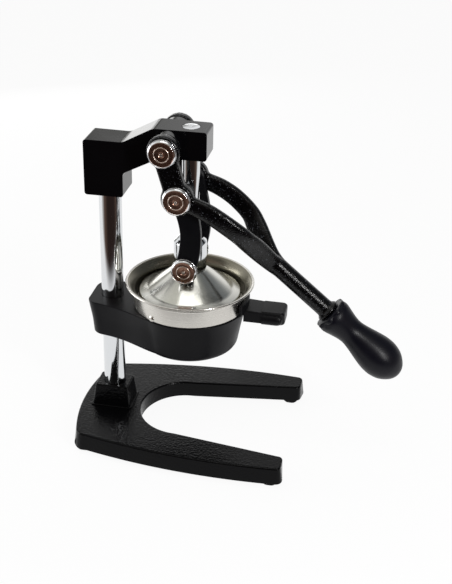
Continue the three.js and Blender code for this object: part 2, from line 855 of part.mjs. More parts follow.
function leverGrip() {
  const start = rodLength + fitGap;
  const body = turned([
    [0, start],
    [gripNeckRadius, start],
    ...gripShares.map(([along, out]) => [out * gripBulbRadius, start + along * gripLength]),
    [0, start + gripLength],
  ], roundSides);
  const lobes = [];
  const steps = 4 * gripLobes;
  for (let i = 0; i < steps; i += 1) {
    const turn = (2 * Math.PI * i) / steps;
    const radius = gripFlangeRadius + gripFlangeLobe * Math.cos(gripLobes * turn);
    lobes.push(new THREE.Vector2(radius * Math.cos(turn), radius * Math.sin(turn)));
  }
  const rim = gripFlangeLength / 5;
  const flange = new THREE.ExtrudeGeometry(new THREE.Shape(lobes), {
    depth: gripFlangeLength - 2 * rim,
    bevelThickness: rim,
    bevelSize: rim,
    bevelOffset: -rim,
    bevelSegments: 1,
  }).translate(0, 0, start + rim);
  const boreEnd = rodLength - studDepth + studReach + overrun;
  const bore = upright(studRadius + fitGap, start - overrun, boreEnd, smallSides);
  addPart('lever_grip', alongRod(cut(join(body, flange), bore)), plastic);
  const studStart = rodLength - studDepth + fitGap;
  const stud = upright(studRadius, studStart, studStart + studReach, smallSides);
  addPart('grip_stud', alongRod(stud), zincSteel);
}

// Curved link: an edge curve on each side of its chord, joined by the two eyes
const linkEdgeShares = [0.14, 0.3, 0.5, 0.7, 0.86];

function linkPlate() {
  const crank = new THREE.Vector2(crankReach, crankHeight);
  const wrist = new THREE.Vector2(ramReach, wristHeight);
  const length = crank.distanceTo(wrist);
  const edge = (side) =>
    linkEdgeShares.map((share) => {
      const middleShare = Math.sin(Math.PI * share);
      const eye = THREE.MathUtils.lerp(linkCrankEyeRadius, linkWristEyeRadius, share);
      const half = THREE.MathUtils.lerp(eye, linkHalfWidth, middleShare);
      return new THREE.Vector2(share * length, linkBulge * middleShare + side * half);
    });
  const shape = new THREE.Shape();
  shape.moveTo(0, linkCrankEyeRadius);
  shape.splineThru([...edge(1), new THREE.Vector2(length, linkWristEyeRadius)]);
  shape.absarc(length, 0, linkWristEyeRadius, Math.PI / 2, -Math.PI / 2, true);
  shape.splineThru([...edge(-1).reverse(), new THREE.Vector2(0, -linkCrankEyeRadius)]);
  shape.absarc(0, 0, linkCrankEyeRadius, -Math.PI / 2, -1.5 * Math.PI, true);
  const turn = wrist.clone().sub(crank).angle();
  const chordStart = new THREE.Vector2();
  const outline = withoutRepeats(shape.getPoints(5)).map((p) => p.rotateAround(chordStart, turn).add(crank));
  const body = plate(new THREE.Shape(outline), linkInnerHalf, linkOuterHalf, linkEdgeRadius, 1);
  const bores = [
    crossBar(screwRadius + fitGap, crankReach, crankHeight, 0, capHalf, smallSides),
    crossBar(screwRadius + fitGap, ramReach, wristHeight, 0, capHalf, smallSides),
  ];
  addPair('link', cut(body, ...bores), satinCoat);
}

function ramAndCrosshead() {
  const rod = turned([
    [0, ramSeatHeight + fitGap],
    [ramRadius, ramSeatHeight + fitGap],
    [ramRadius, headTop - fitGap],
    [ramRadius - fitGap, headTop],
    [0, headTop],
  ], roundSides);
  addPart('ram_rod', rod.translate(ramReach, 0, 0), chrome);
  const bore = coneScrewRadius + fitGap;
  const seat = ramRadius + fitGap;
  const shoulder = crossheadTop - crossheadShoulder;
  const hub = turned([
    [0, crossheadBottom],
    [crossheadRadius, crossheadBottom],
    [crossheadRadius, shoulder],
    [crossheadRadius - crossheadShoulder * 0.1, shoulder + crossheadShoulder * 0.45],
    [crossheadRadius - crossheadShoulder * 0.35, crossheadTop - crossheadShoulder * 0.2],
    [crossheadNeckRadius, crossheadTop],
    [0, crossheadTop],
  ], roundSides);
  const trunnions = crossBar(trunnionRadius, 0, wristHeight, -trunnionHalf, trunnionHalf, smallSides);
  const ramHole = upright(seat, ramSeatHeight, crossheadTop + overrun);
  const screwHole = upright(bore, crossheadBottom - overrun, ramSeatHeight + overrun, smallSides);
  const holeEnd = trunnionHalf + overrun;
  const hole = crossBar(screwRadius + fitGap, 0, wristHeight, wristHoleStart(), holeEnd, smallSides);
  const body = cut(join(hub, trunnions), ramHole, screwHole, hole, mirrored(hole));
  addPart('ram_crosshead', body.translate(ramReach, 0, 0), chrome);
}

function wristHoleStart() {
  return crossheadRadius - wristHoleDepth;
}

// Spun cone with a flat top under the crosshead and a rolled flange
function pressCone() {
  const top = coneTop;
  const hole = coneScrewRadius + fitGap;
  const lipFoot = coneFlangeHeight - coneLip;
  const cone = turnedRing([
    [hole, top],
    [coneHubRadius, top],
    [coneBaseRadius, coneBaseHeight],
    [coneFlangeRadius - coneWall * 0.6, coneFlangeHeight + coneWall * 0.6],
    [coneFlangeRadius, coneFlangeHeight],
    [coneFlangeRadius, lipFoot],
    [coneFlangeRadius - coneWall * 0.7, lipFoot],
    [coneFlangeRadius - coneWall, coneFlangeHeight - coneWall * 0.3],
    [coneBaseRadius - coneWall * 0.3, coneBaseHeight - coneWall],
    [coneHubRadius - coneWall * 0.4, top - coneWall],
    [hole, top - coneWall],
  ], fineSides);
  addPart('press_cone', cone.translate(ramReach, 0, 0), spunAluminium);

  const seat = top - coneWall - fitGap;
  const washer = turnedRing([
    [hole, seat - washerThickness],
    [coneWasherRadius, seat - washerThickness],
    [coneWasherRadius, seat],
    [hole, seat],
  ], smallSides);
  addPart('cone_washer', washer.translate(ramReach, 0, 0), zincSteel);

  const headTopFace = seat - washerThickness - fitGap;
  const screw = join(
    hexagon(coneScrewAcross, headTopFace - coneScrewHead, headTopFace),
    upright(coneScrewRadius, headTopFace - fitGap, ramSeatHeight - coneScrewEndGap, smallSides),
  );
  addPart('cone_screw', screw.translate(ramReach, 0, 0), zincSteel);
}

// Side curve of the bracket, as shares of its run to the pot and of its spread
const bracketCurveShares = [
  [0.16, 0.1],
  [0.34, 0.24],
  [0.5, 0.4],
  [0.66, 0.59],
  [0.82, 0.79],
];

// Plan outline of the holder: rear end, side curve and the pot's round
function holderOutline(potRadius, rear, half, corner) {
  const meet = THREE.MathUtils.degToRad(123);
  const meetX = ramReach + potRadius * Math.cos(meet);
  const meetY = potRadius * Math.sin(meet);
  const startX = -rear + corner;
  const sidePoints = bracketCurveShares.map(([run, spread]) => [
    THREE.MathUtils.lerp(startX, meetX, run),
    THREE.MathUtils.lerp(half, meetY, spread),
  ]);
  const points = [];
  const arcSteps = 28;
  for (let i = 0; i <= arcSteps; i += 1) {
    const turn = THREE.MathUtils.lerp(-meet, meet, i / arcSteps);
    points.push(new THREE.Vector2(ramReach + potRadius * Math.cos(turn), potRadius * Math.sin(turn)));
  }
  sidePoints.slice().reverse().forEach(([x, y]) => points.push(new THREE.Vector2(x, y)));
  const cornerSteps = 4;
  const rounded = (centreY, turn) =>
    new THREE.Vector2(startX + corner * Math.cos(turn), centreY + corner * Math.sin(turn));
  for (let i = 0; i <= cornerSteps; i += 1) {
    points.push(rounded(half - corner, THREE.MathUtils.lerp(Math.PI / 2, Math.PI, i / cornerSteps)));
  }
  for (let i = 0; i <= cornerSteps; i += 1) {
    points.push(rounded(corner - half, THREE.MathUtils.lerp(Math.PI, 1.5 * Math.PI, i / cornerSteps)));
  }
  sidePoints.forEach(([x, y]) => points.push(new THREE.Vector2(x, -y)));
  return points;
}

// Ring of the holder; its height falls from the bracket's foot to the pot's foot
function holderRing(potRadius, draft, potHeight, bracketHeight) {
  const outline = holderOutline(potRadius, bracketRear - draft, bracketHalf - draft, bracketCornerRadius);
  return outline.map((point) => {
    const share = THREE.MathUtils.smoothstep(point.x, 0, ramReach - potRadius / 2);
    return new THREE.Vector3(point.x, point.y, THREE.MathUtils.lerp(bracketHeight, potHeight, share));
  });
}

function holderCasting() {
  const wallShare = (height) => (potRimHeight - height) / (potRimHeight - potFootHeight - potCornerRadius);
  const radiusAt = (height) => THREE.MathUtils.lerp(potRimRadius, potFootRadius, wallShare(height) ** 0.8);
  const middle = (potRimHeight + potFootHeight) / 2 + potCornerRadius;
  const corner = potFootHeight + potCornerRadius;
  const body = skin([
    holderRing(
      potFootRadius - potCornerRadius,
      bracketDraft + headEdgeRadius * 1.5,
      potFootHeight,
      bracketFoot,
    ),
    holderRing(
      potFootRadius - potCornerRadius * 0.3,
      bracketDraft + headEdgeRadius * 0.5,
      potFootHeight + potCornerRadius * 0.3,
      bracketFoot + headEdgeRadius * 0.3,
    ),
    holderRing(radiusAt(corner), bracketDraft, corner, bracketFoot + headEdgeRadius),
    holderRing(radiusAt(middle), bracketDraft / 2, middle, middle),
    holderRing(potRimRadius, 0, potRimHeight - headEdgeRadius / 2, potRimHeight - headEdgeRadius / 2),
    holderRing(potRimRadius - headEdgeRadius / 2, headEdgeRadius / 2, potRimHeight, potRimHeight),
  ]);
  const cavity = turned([
    [0, potFloorTop],
    [potBoreFootRadius - potCornerRadius / 2, potFloorTop],
    [potBoreFootRadius, potFloorTop + potCornerRadius / 2],
    [potBoreRadius, potRimHeight - potFloor / 2],
    [potBoreRadius, potRimHeight + overrun],
    [0, potRimHeight + overrun],
  ]).translate(ramReach, 0, 0);
  const drain = upright(potDrainRadius, potFootHeight - overrun, potRimHeight).translate(ramReach, 0, 0);
  const columnBore = upright(columnRadius + fitGap, potFootHeight - overrun, potRimHeight + overrun);
  const screwHole = grubBore(bracketRear, holderScrewHeight());
  addPart('holder_casting', cut(body, cavity, drain, columnBore, screwHole), satinCoat);
}

function holderScrewHeight() {
  return (potRimHeight + bracketFoot) / 2;
}

function juiceBowl() {
  const shoulder = potRimHeight + fitGap;
  const lip = bowlLipRadius - bandRadius;
  const rise = bowlLipHeight - bowlBandTop;
  const outer = [
    [bowlDrainRadius, bowlDrainFoot],
    [bowlDrainRadius, potFloorTop - bowlDishSink],
    [bowlFootRadius - bowlFootRound, bowlFootHeight - bowlWall],
    [bowlFootRadius, bowlFootHeight + bowlFootRound],
    [bowlBodyRadius, shoulder - bowlShoulderDrop],
    [bowlBodyRadius, shoulder],
    [bandRadius - bowlWall / 2, shoulder],
    [bandRadius, shoulder + bowlWall / 2],
    [bandRadius, bowlBandTop],
    [bandRadius + lip * 0.3, bowlBandTop + rise * 0.45],
    [bandRadius + lip * 0.65, bowlBandTop + rise * 0.74],
    [bowlLipRadius - bowlWall / 3, bowlLipHeight - bowlWall * 1.2],
    [bowlLipRadius, bowlLipHeight - bowlWall * 0.5],
    [bowlLipRadius - bowlWall / 2, bowlLipHeight],
  ];
  const inner = [
    [bandRadius + lip * 0.55, bowlLipHeight - bowlWall * 0.3],
    [bandRadius + lip * 0.18, bowlBandTop + rise * 0.55],
    [bandRadius - bowlWall, bowlBandTop],
    [bandRadius - bowlWall, shoulder + bowlWall],
    [bowlBodyRadius - bowlWall, shoulder + bowlWall],
    [bowlBodyRadius - bowlWall, shoulder - bowlShoulderDrop],
    [bowlFootRadius - bowlWall, bowlFootHeight + bowlFootRound + bowlWall],
    [bowlFootRadius - bowlFootRound - bowlWall, bowlFootHeight],
    [bowlDrainRadius - bowlWall, potFloorTop - bowlDishSink + bowlWall],
    [bowlDrainRadius - bowlWall, bowlDrainFoot],
  ];
  const bowl = turnedRing([...outer, ...inner], fineSides);
  const pip = new THREE.CylinderGeometry(pipRadius * 0.6, pipRadius, pipStand + bowlWall, smallSides)
    .rotateZ(-Math.PI / 2)
    .translate(bandRadius + (pipStand - bowlWall) / 2, 0, shoulder + pipHeight)
    .rotateZ(pipAngle);
  addPart('juice_bowl', join(bowl, pip).translate(ramReach, 0, 0), stainless);
}

function strainerCone() {
  const seat = potRimHeight + 2 * fitGap + bowlWall;
  const shell = turnedRing([
    [0, strainerTop],
    [strainerShoulder * 0.5, strainerTop - strainerWall * 0.2],
    [strainerShoulder, strainerTop - strainerWall * 1.2],
    [strainerBaseRadius, seat + strainerWall],
    [strainerFlangeRadius, seat + strainerWall],
    [strainerFlangeRadius, seat],
    [strainerBaseRadius - strainerWall / 2, seat],
    [strainerShoulder - strainerWall / 2, strainerTop - strainerWall * 2.2],
    [0, strainerTop - strainerWall],
  ], roundSides);
  const holes = [];
  const run = strainerBaseRadius - strainerShoulder;
  const drop = strainerTop - seat - 2 * strainerWall;
  for (let row = 0; row < strainerRows; row += 1) {
    const share = (row + 1) / (strainerRows + 1);
    const radius = strainerShoulder + share * run;
    const count = strainerHolesPerRow + 4 * row;
    for (let i = 0; i < count; i += 1) {
      const turn = (2 * Math.PI * (i + row / 2)) / count;
      holes.push(
        upright(strainerHoleRadius, -overrun, overrun, 6)
          .rotateY(Math.atan2(drop, run))
          .translate(radius, 0, strainerTop - strainerWall * 1.6 - share * drop)
          .rotateZ(turn),
      );
    }
  }
  addPart('strainer_cone', cut(shell, ...holes).translate(ramReach, 0, 0), stainless);
}

// Steel strap welded to the band, stepped down over the pot's rim into the handle
function strapOutline(gap) {
  const rise = strapThickness + 2 * gap;
  const weldX = bandRadius + fitGap - gap;
  const dropX = handleStart + fitGap - gap;
  const shelf = heelFoot + strapThickness - gap;
  const foot = strapLevel - gap;
  return new THREE.Shape([
    new THREE.Vector2(weldX, shelf),
    new THREE.Vector2(dropX + strapThickness, shelf),
    new THREE.Vector2(dropX + strapThickness, foot),
    new THREE.Vector2(strapReach + gap, foot),
    new THREE.Vector2(strapReach + gap, foot + rise),
    new THREE.Vector2(dropX + strapThickness + rise, foot + rise),
    new THREE.Vector2(dropX + strapThickness + rise, shelf + rise),
    new THREE.Vector2(weldX + rise, shelf + rise),
    new THREE.Vector2(weldX + rise, strapTop + gap),
    new THREE.Vector2(weldX, strapTop + gap),
  ]);
}

function bowlHandle() {
  const strap = plate(strapOutline(0), -strapHalf, strapHalf);
  const holeFoot = handleTop - handleThickness - overrun;
  const screwHole = upright(handleScrewRadius + fitGap, holeFoot, handleTop - overrun, smallSides)
    .translate(handleScrewReach, 0, 0);
  addPart('handle_strap', cut(strap, screwHole).translate(ramReach, 0, 0), stainless);

  const neckEnd = handleGripStart + handleCorner;
  const neck = handleBar(handleStart, neckEnd, handleHalf, handleThickness, handleEdgeRadius);
  const grip = handleBar(
    handleGripStart,
    handleEnd,
    handleHalf + handleGripExtra,
    handleThickness + 2 * handleGripExtra,
    handleEdgeRadius + handleGripExtra,
  );
  const pocket = plate(strapOutline(fitGap), -strapHalf - fitGap, strapHalf + fitGap);
  const headHole = upright(
    handleScrewHeadRadius + fitGap,
    holeFoot,
    handleTop - handleThickness + handleScrewHeadHeight,
    smallSides,
  ).translate(handleScrewReach, 0, 0);
  const saddleRear = bandRadius + 2 * fitGap + heelDepth / 2;
  const saddleOutline = new THREE.Shape([
    new THREE.Vector2(saddleRear, heelFoot),
    new THREE.Vector2(saddleReach, heelFoot),
    new THREE.Vector2(saddleReach, heelFoot + saddleRise),
    new THREE.Vector2(saddleRear, heelFoot + saddleRise),
  ]);
  const saddle = plate(saddleOutline, -saddleHalf, saddleHalf);
  const moulding = cut(join(heel(), saddle, neck, grip), pocket, screwHole, headHole);
  addPart('bowl_handle', moulding.translate(ramReach, 0, 0), plastic);

  const headFoot = handleTop - handleThickness - handleGripExtra + fitGap;
  const headSeat = handleTop - handleThickness + handleScrewHeadHeight - fitGap;
  const screw = join(
    upright(handleScrewHeadRadius, headFoot, headSeat, smallSides),
    upright(handleScrewRadius, headFoot + fitGap, handleTop - 2 * overrun + fitGap, smallSides),
  );
  addPart('handle_screw', screw.translate(ramReach + handleScrewReach, 0, 0), zincSteel);
}

// Flat handle bar along +X with rounded edges
function handleBar(start, end, half, thickness, rim) {
  const middle = handleTop - handleThickness / 2;
  const shape = roundedOutline([[start, -half], [end, -half], [end, half], [start, half]], handleCorner);
  return new THREE.ExtrudeGeometry(shape, {
    depth: thickness - 2 * rim,
    bevelThickness: rim,
    bevelSize: rim,
    bevelOffset: -rim,
    bevelSegments: 2,
    curveSegments: 3,
  }).translate(0, 0, middle - thickness / 2 + rim);
}

// Upright heel of the handle, curved to hug the band
function heel() {
  const inner = bandRadius + 2 * fitGap;
  const angle = Math.asin(heelHalf / (inner + heelDepth / 2));
  const shape = new THREE.Shape();
  shape.absarc(0, 0, inner + heelDepth, -angle, angle, false);
  shape.absarc(0, 0, inner, angle, -angle, true);
  const rim = handleEdgeRadius / 2;
  return new THREE.ExtrudeGeometry(shape, {
    depth: heelTop - heelFoot - 2 * rim,
    bevelThickness: rim,
    bevelSize: rim,
    bevelOffset: -rim,
    bevelSegments: 1,
    curveSegments: 8,
  }).translate(0, 0, heelFoot + rim);
}

baseCasting();
columnAndBolt();
headCasting();
grubScrew('head_set_screw', headRear, headScrewHeight());
holderCasting();
grubScrew('holder_set_screw', bracketRear - bracketDraft / 2, holderScrewHeight());
pivotJoint();
leverFork();
leverGrip();
jointScrew(
  'crank',
  crankReach,
  crankHeight,
  leverOuterHalf,
  capHalf,
  capRadius,
  capThickness,
  linkOuterHalf + fitGap,
);
linkPlate();
jointScrew(
  'wrist',
  ramReach,
  wristHeight,
  linkOuterHalf,
  wristCapHalf,
  wristCapRadius,
  wristCapThickness,
  wristHoleStart() + fitGap,
);
ramAndCrosshead();
pressCone();
juiceBowl();
strainerCone();
bowlHandle();

// The origin is the middle of the whole press in plan, at the surface it stands on
const bounds = new THREE.Box3().setFromObject(group);
const middle = bounds.getCenter(new THREE.Vector3());
group.children.forEach((mesh) => mesh.position.set(-middle.x, -middle.y, 0));

export default group;
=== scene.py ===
"""Looks of a lever citrus juice press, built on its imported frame.

Sizes are millimetres from the column's axis at the height of the floor: X runs towards the lever's grip,
Y away from the viewer and Z up. Every piece is moved and scaled into the frame as it is finished.
"""

import json
import logging
import math
from collections.abc import Callable, Sequence
from dataclasses import dataclass
from enum import Enum
from typing import ClassVar

import bmesh
import bpy
from mathutils import Matrix, Vector

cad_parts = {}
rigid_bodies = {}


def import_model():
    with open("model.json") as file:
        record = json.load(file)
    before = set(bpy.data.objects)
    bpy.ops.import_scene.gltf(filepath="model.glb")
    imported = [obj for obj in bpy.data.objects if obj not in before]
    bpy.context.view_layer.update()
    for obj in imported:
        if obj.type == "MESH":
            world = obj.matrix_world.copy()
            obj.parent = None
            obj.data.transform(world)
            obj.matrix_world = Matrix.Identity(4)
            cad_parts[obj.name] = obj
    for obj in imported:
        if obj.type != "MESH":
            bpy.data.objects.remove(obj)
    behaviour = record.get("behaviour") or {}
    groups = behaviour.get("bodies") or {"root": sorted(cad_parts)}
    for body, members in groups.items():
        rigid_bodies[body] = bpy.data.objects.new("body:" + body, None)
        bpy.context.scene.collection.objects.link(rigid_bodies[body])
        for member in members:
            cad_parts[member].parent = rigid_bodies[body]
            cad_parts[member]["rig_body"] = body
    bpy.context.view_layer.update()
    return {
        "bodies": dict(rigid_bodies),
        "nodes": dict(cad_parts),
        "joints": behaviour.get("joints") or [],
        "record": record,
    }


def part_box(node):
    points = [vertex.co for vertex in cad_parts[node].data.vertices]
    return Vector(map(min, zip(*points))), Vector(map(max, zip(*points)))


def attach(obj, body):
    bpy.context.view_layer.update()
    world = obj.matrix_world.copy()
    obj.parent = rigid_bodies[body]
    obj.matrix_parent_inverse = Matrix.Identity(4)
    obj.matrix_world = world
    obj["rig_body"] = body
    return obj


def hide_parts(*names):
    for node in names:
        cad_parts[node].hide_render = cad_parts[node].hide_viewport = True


LOG = logging.getLogger("juice_press")
MM = 0.001

# X and Z of the three pivots, and X of the axis that the ram, the cone and the bowl share
PIVOT = (62.0, 322.0)
CRANK = (75.6, 276.3)
WRIST = (81.0, 198.9)
RAM_X = WRIST[0]

# How far a cutter reaches past what it cuts, half the length of one that goes right across the press, and how
# close two places count as one
PAST = 2.0
THROUGH = 44.0
NEAR = 0.01

Place = Sequence[float]
Colour = tuple[float, float, float, float]


def linear(code: str) -> Colour:
    """Turns an sRGB hex colour into the linear values that a shader takes.

    Args:
        code: The colour, such as "#1a1a1c".

    Returns:
        Red, green, blue and alpha.
    """
    channels = [int(code[i : i + 2], 16) / 255 for i in (1, 3, 5)]
    red, green, blue = (c / 12.92 if c <= 0.04045 else ((c + 0.055) / 1.055) ** 2.4 for c in channels)
    return (red, green, blue, 1.0)


def add_node(tree: bpy.types.NodeTree, kind: str, inputs: dict | None = None, **settings) -> bpy.types.Node:
    """Adds a node with its settings, its values and its links.

    Args:
        tree: The tree it goes into.
        kind: The node's type name.
        inputs: For each input's name or number, a value or the socket that feeds it.
        **settings: The node's own properties.

    Returns:
        The new node.
    """
    node = tree.nodes.new(kind)
    for key, value in settings.items():
        setattr(node, key, value)
    for key, value in (inputs or {}).items():
        if isinstance(value, bpy.types.NodeSocket):
            tree.links.new(value, node.inputs[key])
        else:
            node.inputs[key].default_value = value
    return node


def pattern_scale(width: float) -> float:
    """Returns the scale that gives a pattern's features a width in millimetres."""
    return 1 / (width * MM)


class Dress(Enum):
    """The finishes of the press; each value begins with the record's slot."""

    GLOSS_COAT = "black_powder_coat"
    BASE_COAT = "black_powder_coat.base"
    SATIN_COAT = "satin_black_coat"
    HAMMERED_COAT = "hammered_black_coat"
    CHROME = "chrome_plate"
    CAP = "chrome_plate.cap"
    CAP_FACE = "chrome_plate.cap_face"
    CAP_RING = "chrome_plate.cap_ring"
    ZINC = "zinc_steel"
    STAINLESS = "stainless_steel"
    BOWL_INSIDE = "stainless_steel.inside"
    SPUN = "spun_aluminium"
    GRIP = "black_grip_plastic"
    HANDLE = "black_handle_plastic"

    @property
    def slot(self) -> str:
        """The record's slot."""
        return self.value.split(".")[0]


class Lay(Enum):
    """Which way the fine lines of a worked metal run."""

    AROUND_BOWL = "around the bowl's axis"
    UPRIGHT = "up the bar"
    NONE = "no way"


@dataclass(frozen=True)
class Finish:
    """What every finish shares: its name, and the first and last steps of its material.

    Args:
        name: The material's name.
    """

    name: str

    # Where nearly all the values of one noise lie, and those of two added up
    NOISE: ClassVar[dict[str, float]] = {"From Min": 0.35, "From Max": 0.65}
    TWO_NOISES: ClassVar[dict[str, float]] = {"From Min": 0.75, "From Max": 1.25}
    # The index of refraction of enamel and of moulded plastic
    IOR: ClassVar[float] = 1.5

    def begin(self) -> tuple[bpy.types.Material, bpy.types.NodeSocket]:
        """Begins the material.

        Returns:
            The empty material, and the object's own coordinates in its tree.
        """
        material = bpy.data.materials.new(self.name)
        material.use_nodes = True
        material.node_tree.nodes.clear()
        return material, add_node(material.node_tree, "ShaderNodeTexCoord").outputs["Object"]

    def complete(
        self,
        material: bpy.types.Material,
        relief: bpy.types.NodeSocket,
        depth: float,
        inputs: dict,
        sunk: bool = False,
    ) -> bpy.types.Material:
        """Adds the relief, the shader and the output.

        Args:
            material: The material.
            relief: The relief's pattern.
            depth: The relief's height.
            inputs: The shader's other inputs.
            sunk: Whether the pattern's high values lie deep.

        Returns:
            The material.
        """
        tree = material.node_tree
        heights = {"Height": relief, "Distance": depth * MM, "Strength": 1.0}
        bump = add_node(tree, "ShaderNodeBump", heights, invert=sunk)
        shader = add_node(tree, "ShaderNodeBsdfPrincipled", {**inputs, "Normal": bump.outputs["Normal"]})
        add_node(tree, "ShaderNodeOutputMaterial", {"Surface": shader.outputs["BSDF"]})
        return material


@dataclass(frozen=True)
class Coat(Finish):
    """A baked coat or a moulded skin: a dark dielectric with a fine grain and a cloudy gloss.

    Args:
        colour: The coat's colour.
        worn: The colour of its paler clouds and specks.
        roughness: Its middle roughness.
        spread: How far the roughness wanders either way.
        reflection: The specular level, where 0.5 is a plain dielectric.
        grain: The grain's width.
        grain_height: The grain's height.
        specks: The share of the surface under pale specks.
    """

    colour: str
    worn: str
    roughness: float
    spread: float
    reflection: float
    grain: float
    grain_height: float
    specks: float = 0.0

    # The clouds' width and how far they pale the coat, and where in the grain a speck lies and how pale it is
    CLOUD: ClassVar[float] = 30.0
    HAZE: ClassVar[float] = 0.3
    SPECK: ClassVar[tuple[float, float]] = (0.72, 0.76)
    SPECK_HAZE: ClassVar[float] = 0.6

    def material(self) -> bpy.types.Material:
        """Builds the coat's material."""
        material, place = self.begin()
        tree = material.node_tree
        broad = {"Vector": place, "Scale": pattern_scale(self.CLOUD), "Detail": 5.0}
        cloud = add_node(tree, "ShaderNodeTexNoise", broad).outputs["Fac"]
        fine = {"Vector": place, "Scale": pattern_scale(self.grain), "Detail": 3.0}
        grain = add_node(tree, "ShaderNodeTexNoise", fine).outputs["Fac"]
        rough = {"To Min": self.roughness - self.spread, "To Max": self.roughness + self.spread}
        gloss = add_node(tree, "ShaderNodeMapRange", {"Value": cloud, **self.NOISE, **rough})
        start, end = self.SPECK
        pale = {"Value": grain, "From Min": start - self.specks, "From Max": end, "To Max": self.SPECK_HAZE}
        speck = add_node(tree, "ShaderNodeMapRange", pale)
        haze = add_node(tree, "ShaderNodeMath", {0: cloud, 1: self.HAZE}, operation="MULTIPLY")
        most = {0: haze.outputs[0], 1: speck.outputs["Result"]}
        amount = add_node(tree, "ShaderNodeMath", most, operation="MAXIMUM")
        colours = {0: amount.outputs[0], 6: linear(self.colour), 7: linear(self.worn)}
        tint = add_node(tree, "ShaderNodeMix", colours, data_type="RGBA")
        inputs = {
            "Base Color": tint.outputs[2],
            "Roughness": gloss.outputs["Result"],
            "IOR": self.IOR,
            "Specular IOR Level": self.reflection,
        }
        return self.complete(material, grain, self.grain_height, inputs)


@dataclass(frozen=True)
class HammeredCoat(Finish):
    """Hammer-finish enamel: it dries into small glossy lumps, whose tops each catch the light; pale dots add
    painted glints.

    Args:
        colour: The enamel's colour.
        pit_shade: Its colour between the lumps, darker there as painted shade.
        roughness: Its middle roughness.
        lump: The lumps' width.
        lump_height: The lumps' height.
        painted_glint: The colour of the small pale dots, which are painted glints of light.
        painted_glint_width: The width of the painted glints' pattern.
        reflection: The specular level, where 0.5 is a plain dielectric.
    """

    colour: str
    pit_shade: str
    roughness: float
    lump: float
    lump_height: float
    painted_glint: str
    painted_glint_width: float
    reflection: float

    # How much smoother and rougher it gets, the fine skin's width and height beside a lump's, the width and
    # the reach of the drift that makes the lumps uneven, and where in their pattern the painted glints lie
    ROUGHER: ClassVar[tuple[float, float]] = (-0.08, 0.12)
    SKIN: ClassVar[float] = 0.9
    SKIN_SHARE: ClassVar[float] = 0.6
    DRIFT: ClassVar[float] = 6.0
    DRIFT_REACH: ClassVar[float] = 0.0006
    PAINTED_GLINTS: ClassVar[dict[str, float]] = {"From Min": 0.63, "From Max": 0.72}

    def material(self) -> bpy.types.Material:
        """Builds the enamel's material."""
        material, place = self.begin()
        tree = material.node_tree
        slow = {"Vector": place, "Scale": pattern_scale(self.DRIFT), "Detail": 2.0}
        drift = add_node(tree, "ShaderNodeTexNoise", slow)
        shifted = {0: self.DRIFT_REACH, 4: place, 5: drift.outputs["Color"]}
        bent = add_node(tree, "ShaderNodeMix", shifted, data_type="VECTOR").outputs[1]
        cells = {"Vector": bent, "Scale": pattern_scale(self.lump), "Smoothness": 0.6}
        lumps = add_node(tree, "ShaderNodeTexVoronoi", cells, feature="SMOOTH_F1").outputs["Distance"]
        grain = {"Vector": place, "Scale": pattern_scale(self.SKIN), "Detail": 4.0}
        skin = add_node(tree, "ShaderNodeTexNoise", grain).outputs["Fac"]
        skinned = {0: skin, 1: self.SKIN_SHARE, 2: lumps}
        height = add_node(tree, "ShaderNodeMath", skinned, operation="MULTIPLY_ADD")
        # Painted shade: the colour darkens towards the pits between the lumps
        colours = {0: lumps, 6: linear(self.colour), 7: linear(self.pit_shade)}
        shade = add_node(tree, "ShaderNodeMix", colours, data_type="RGBA")
        # Painted highlights: pale dots mixed into the colour stand in for glints of light on the lumps' tops
        small = {"Vector": place, "Scale": pattern_scale(self.painted_glint_width)}
        painted_glint_spots = add_node(tree, "ShaderNodeTexNoise", small)
        painted_glint = add_node(tree, "ShaderNodeMapRange", {"Value": painted_glint_spots.outputs["Fac"], **self.PAINTED_GLINTS})
        lit = {0: painted_glint.outputs["Result"], 6: shade.outputs[2], 7: linear(self.painted_glint)}
        tint = add_node(tree, "ShaderNodeMix", lit, data_type="RGBA")
        smooth, rough = (self.roughness + step for step in self.ROUGHER)
        gloss = add_node(tree, "ShaderNodeMapRange", {"Value": skin, "To Min": smooth, "To Max": rough})
        inputs = {
            "Base Color": tint.outputs[2],
            "Roughness": gloss.outputs["Result"],
            "IOR": self.IOR,
            "Specular IOR Level": self.reflection,
        }
        return self.complete(material, height.outputs[0], self.lump_height, inputs, sunk=True)


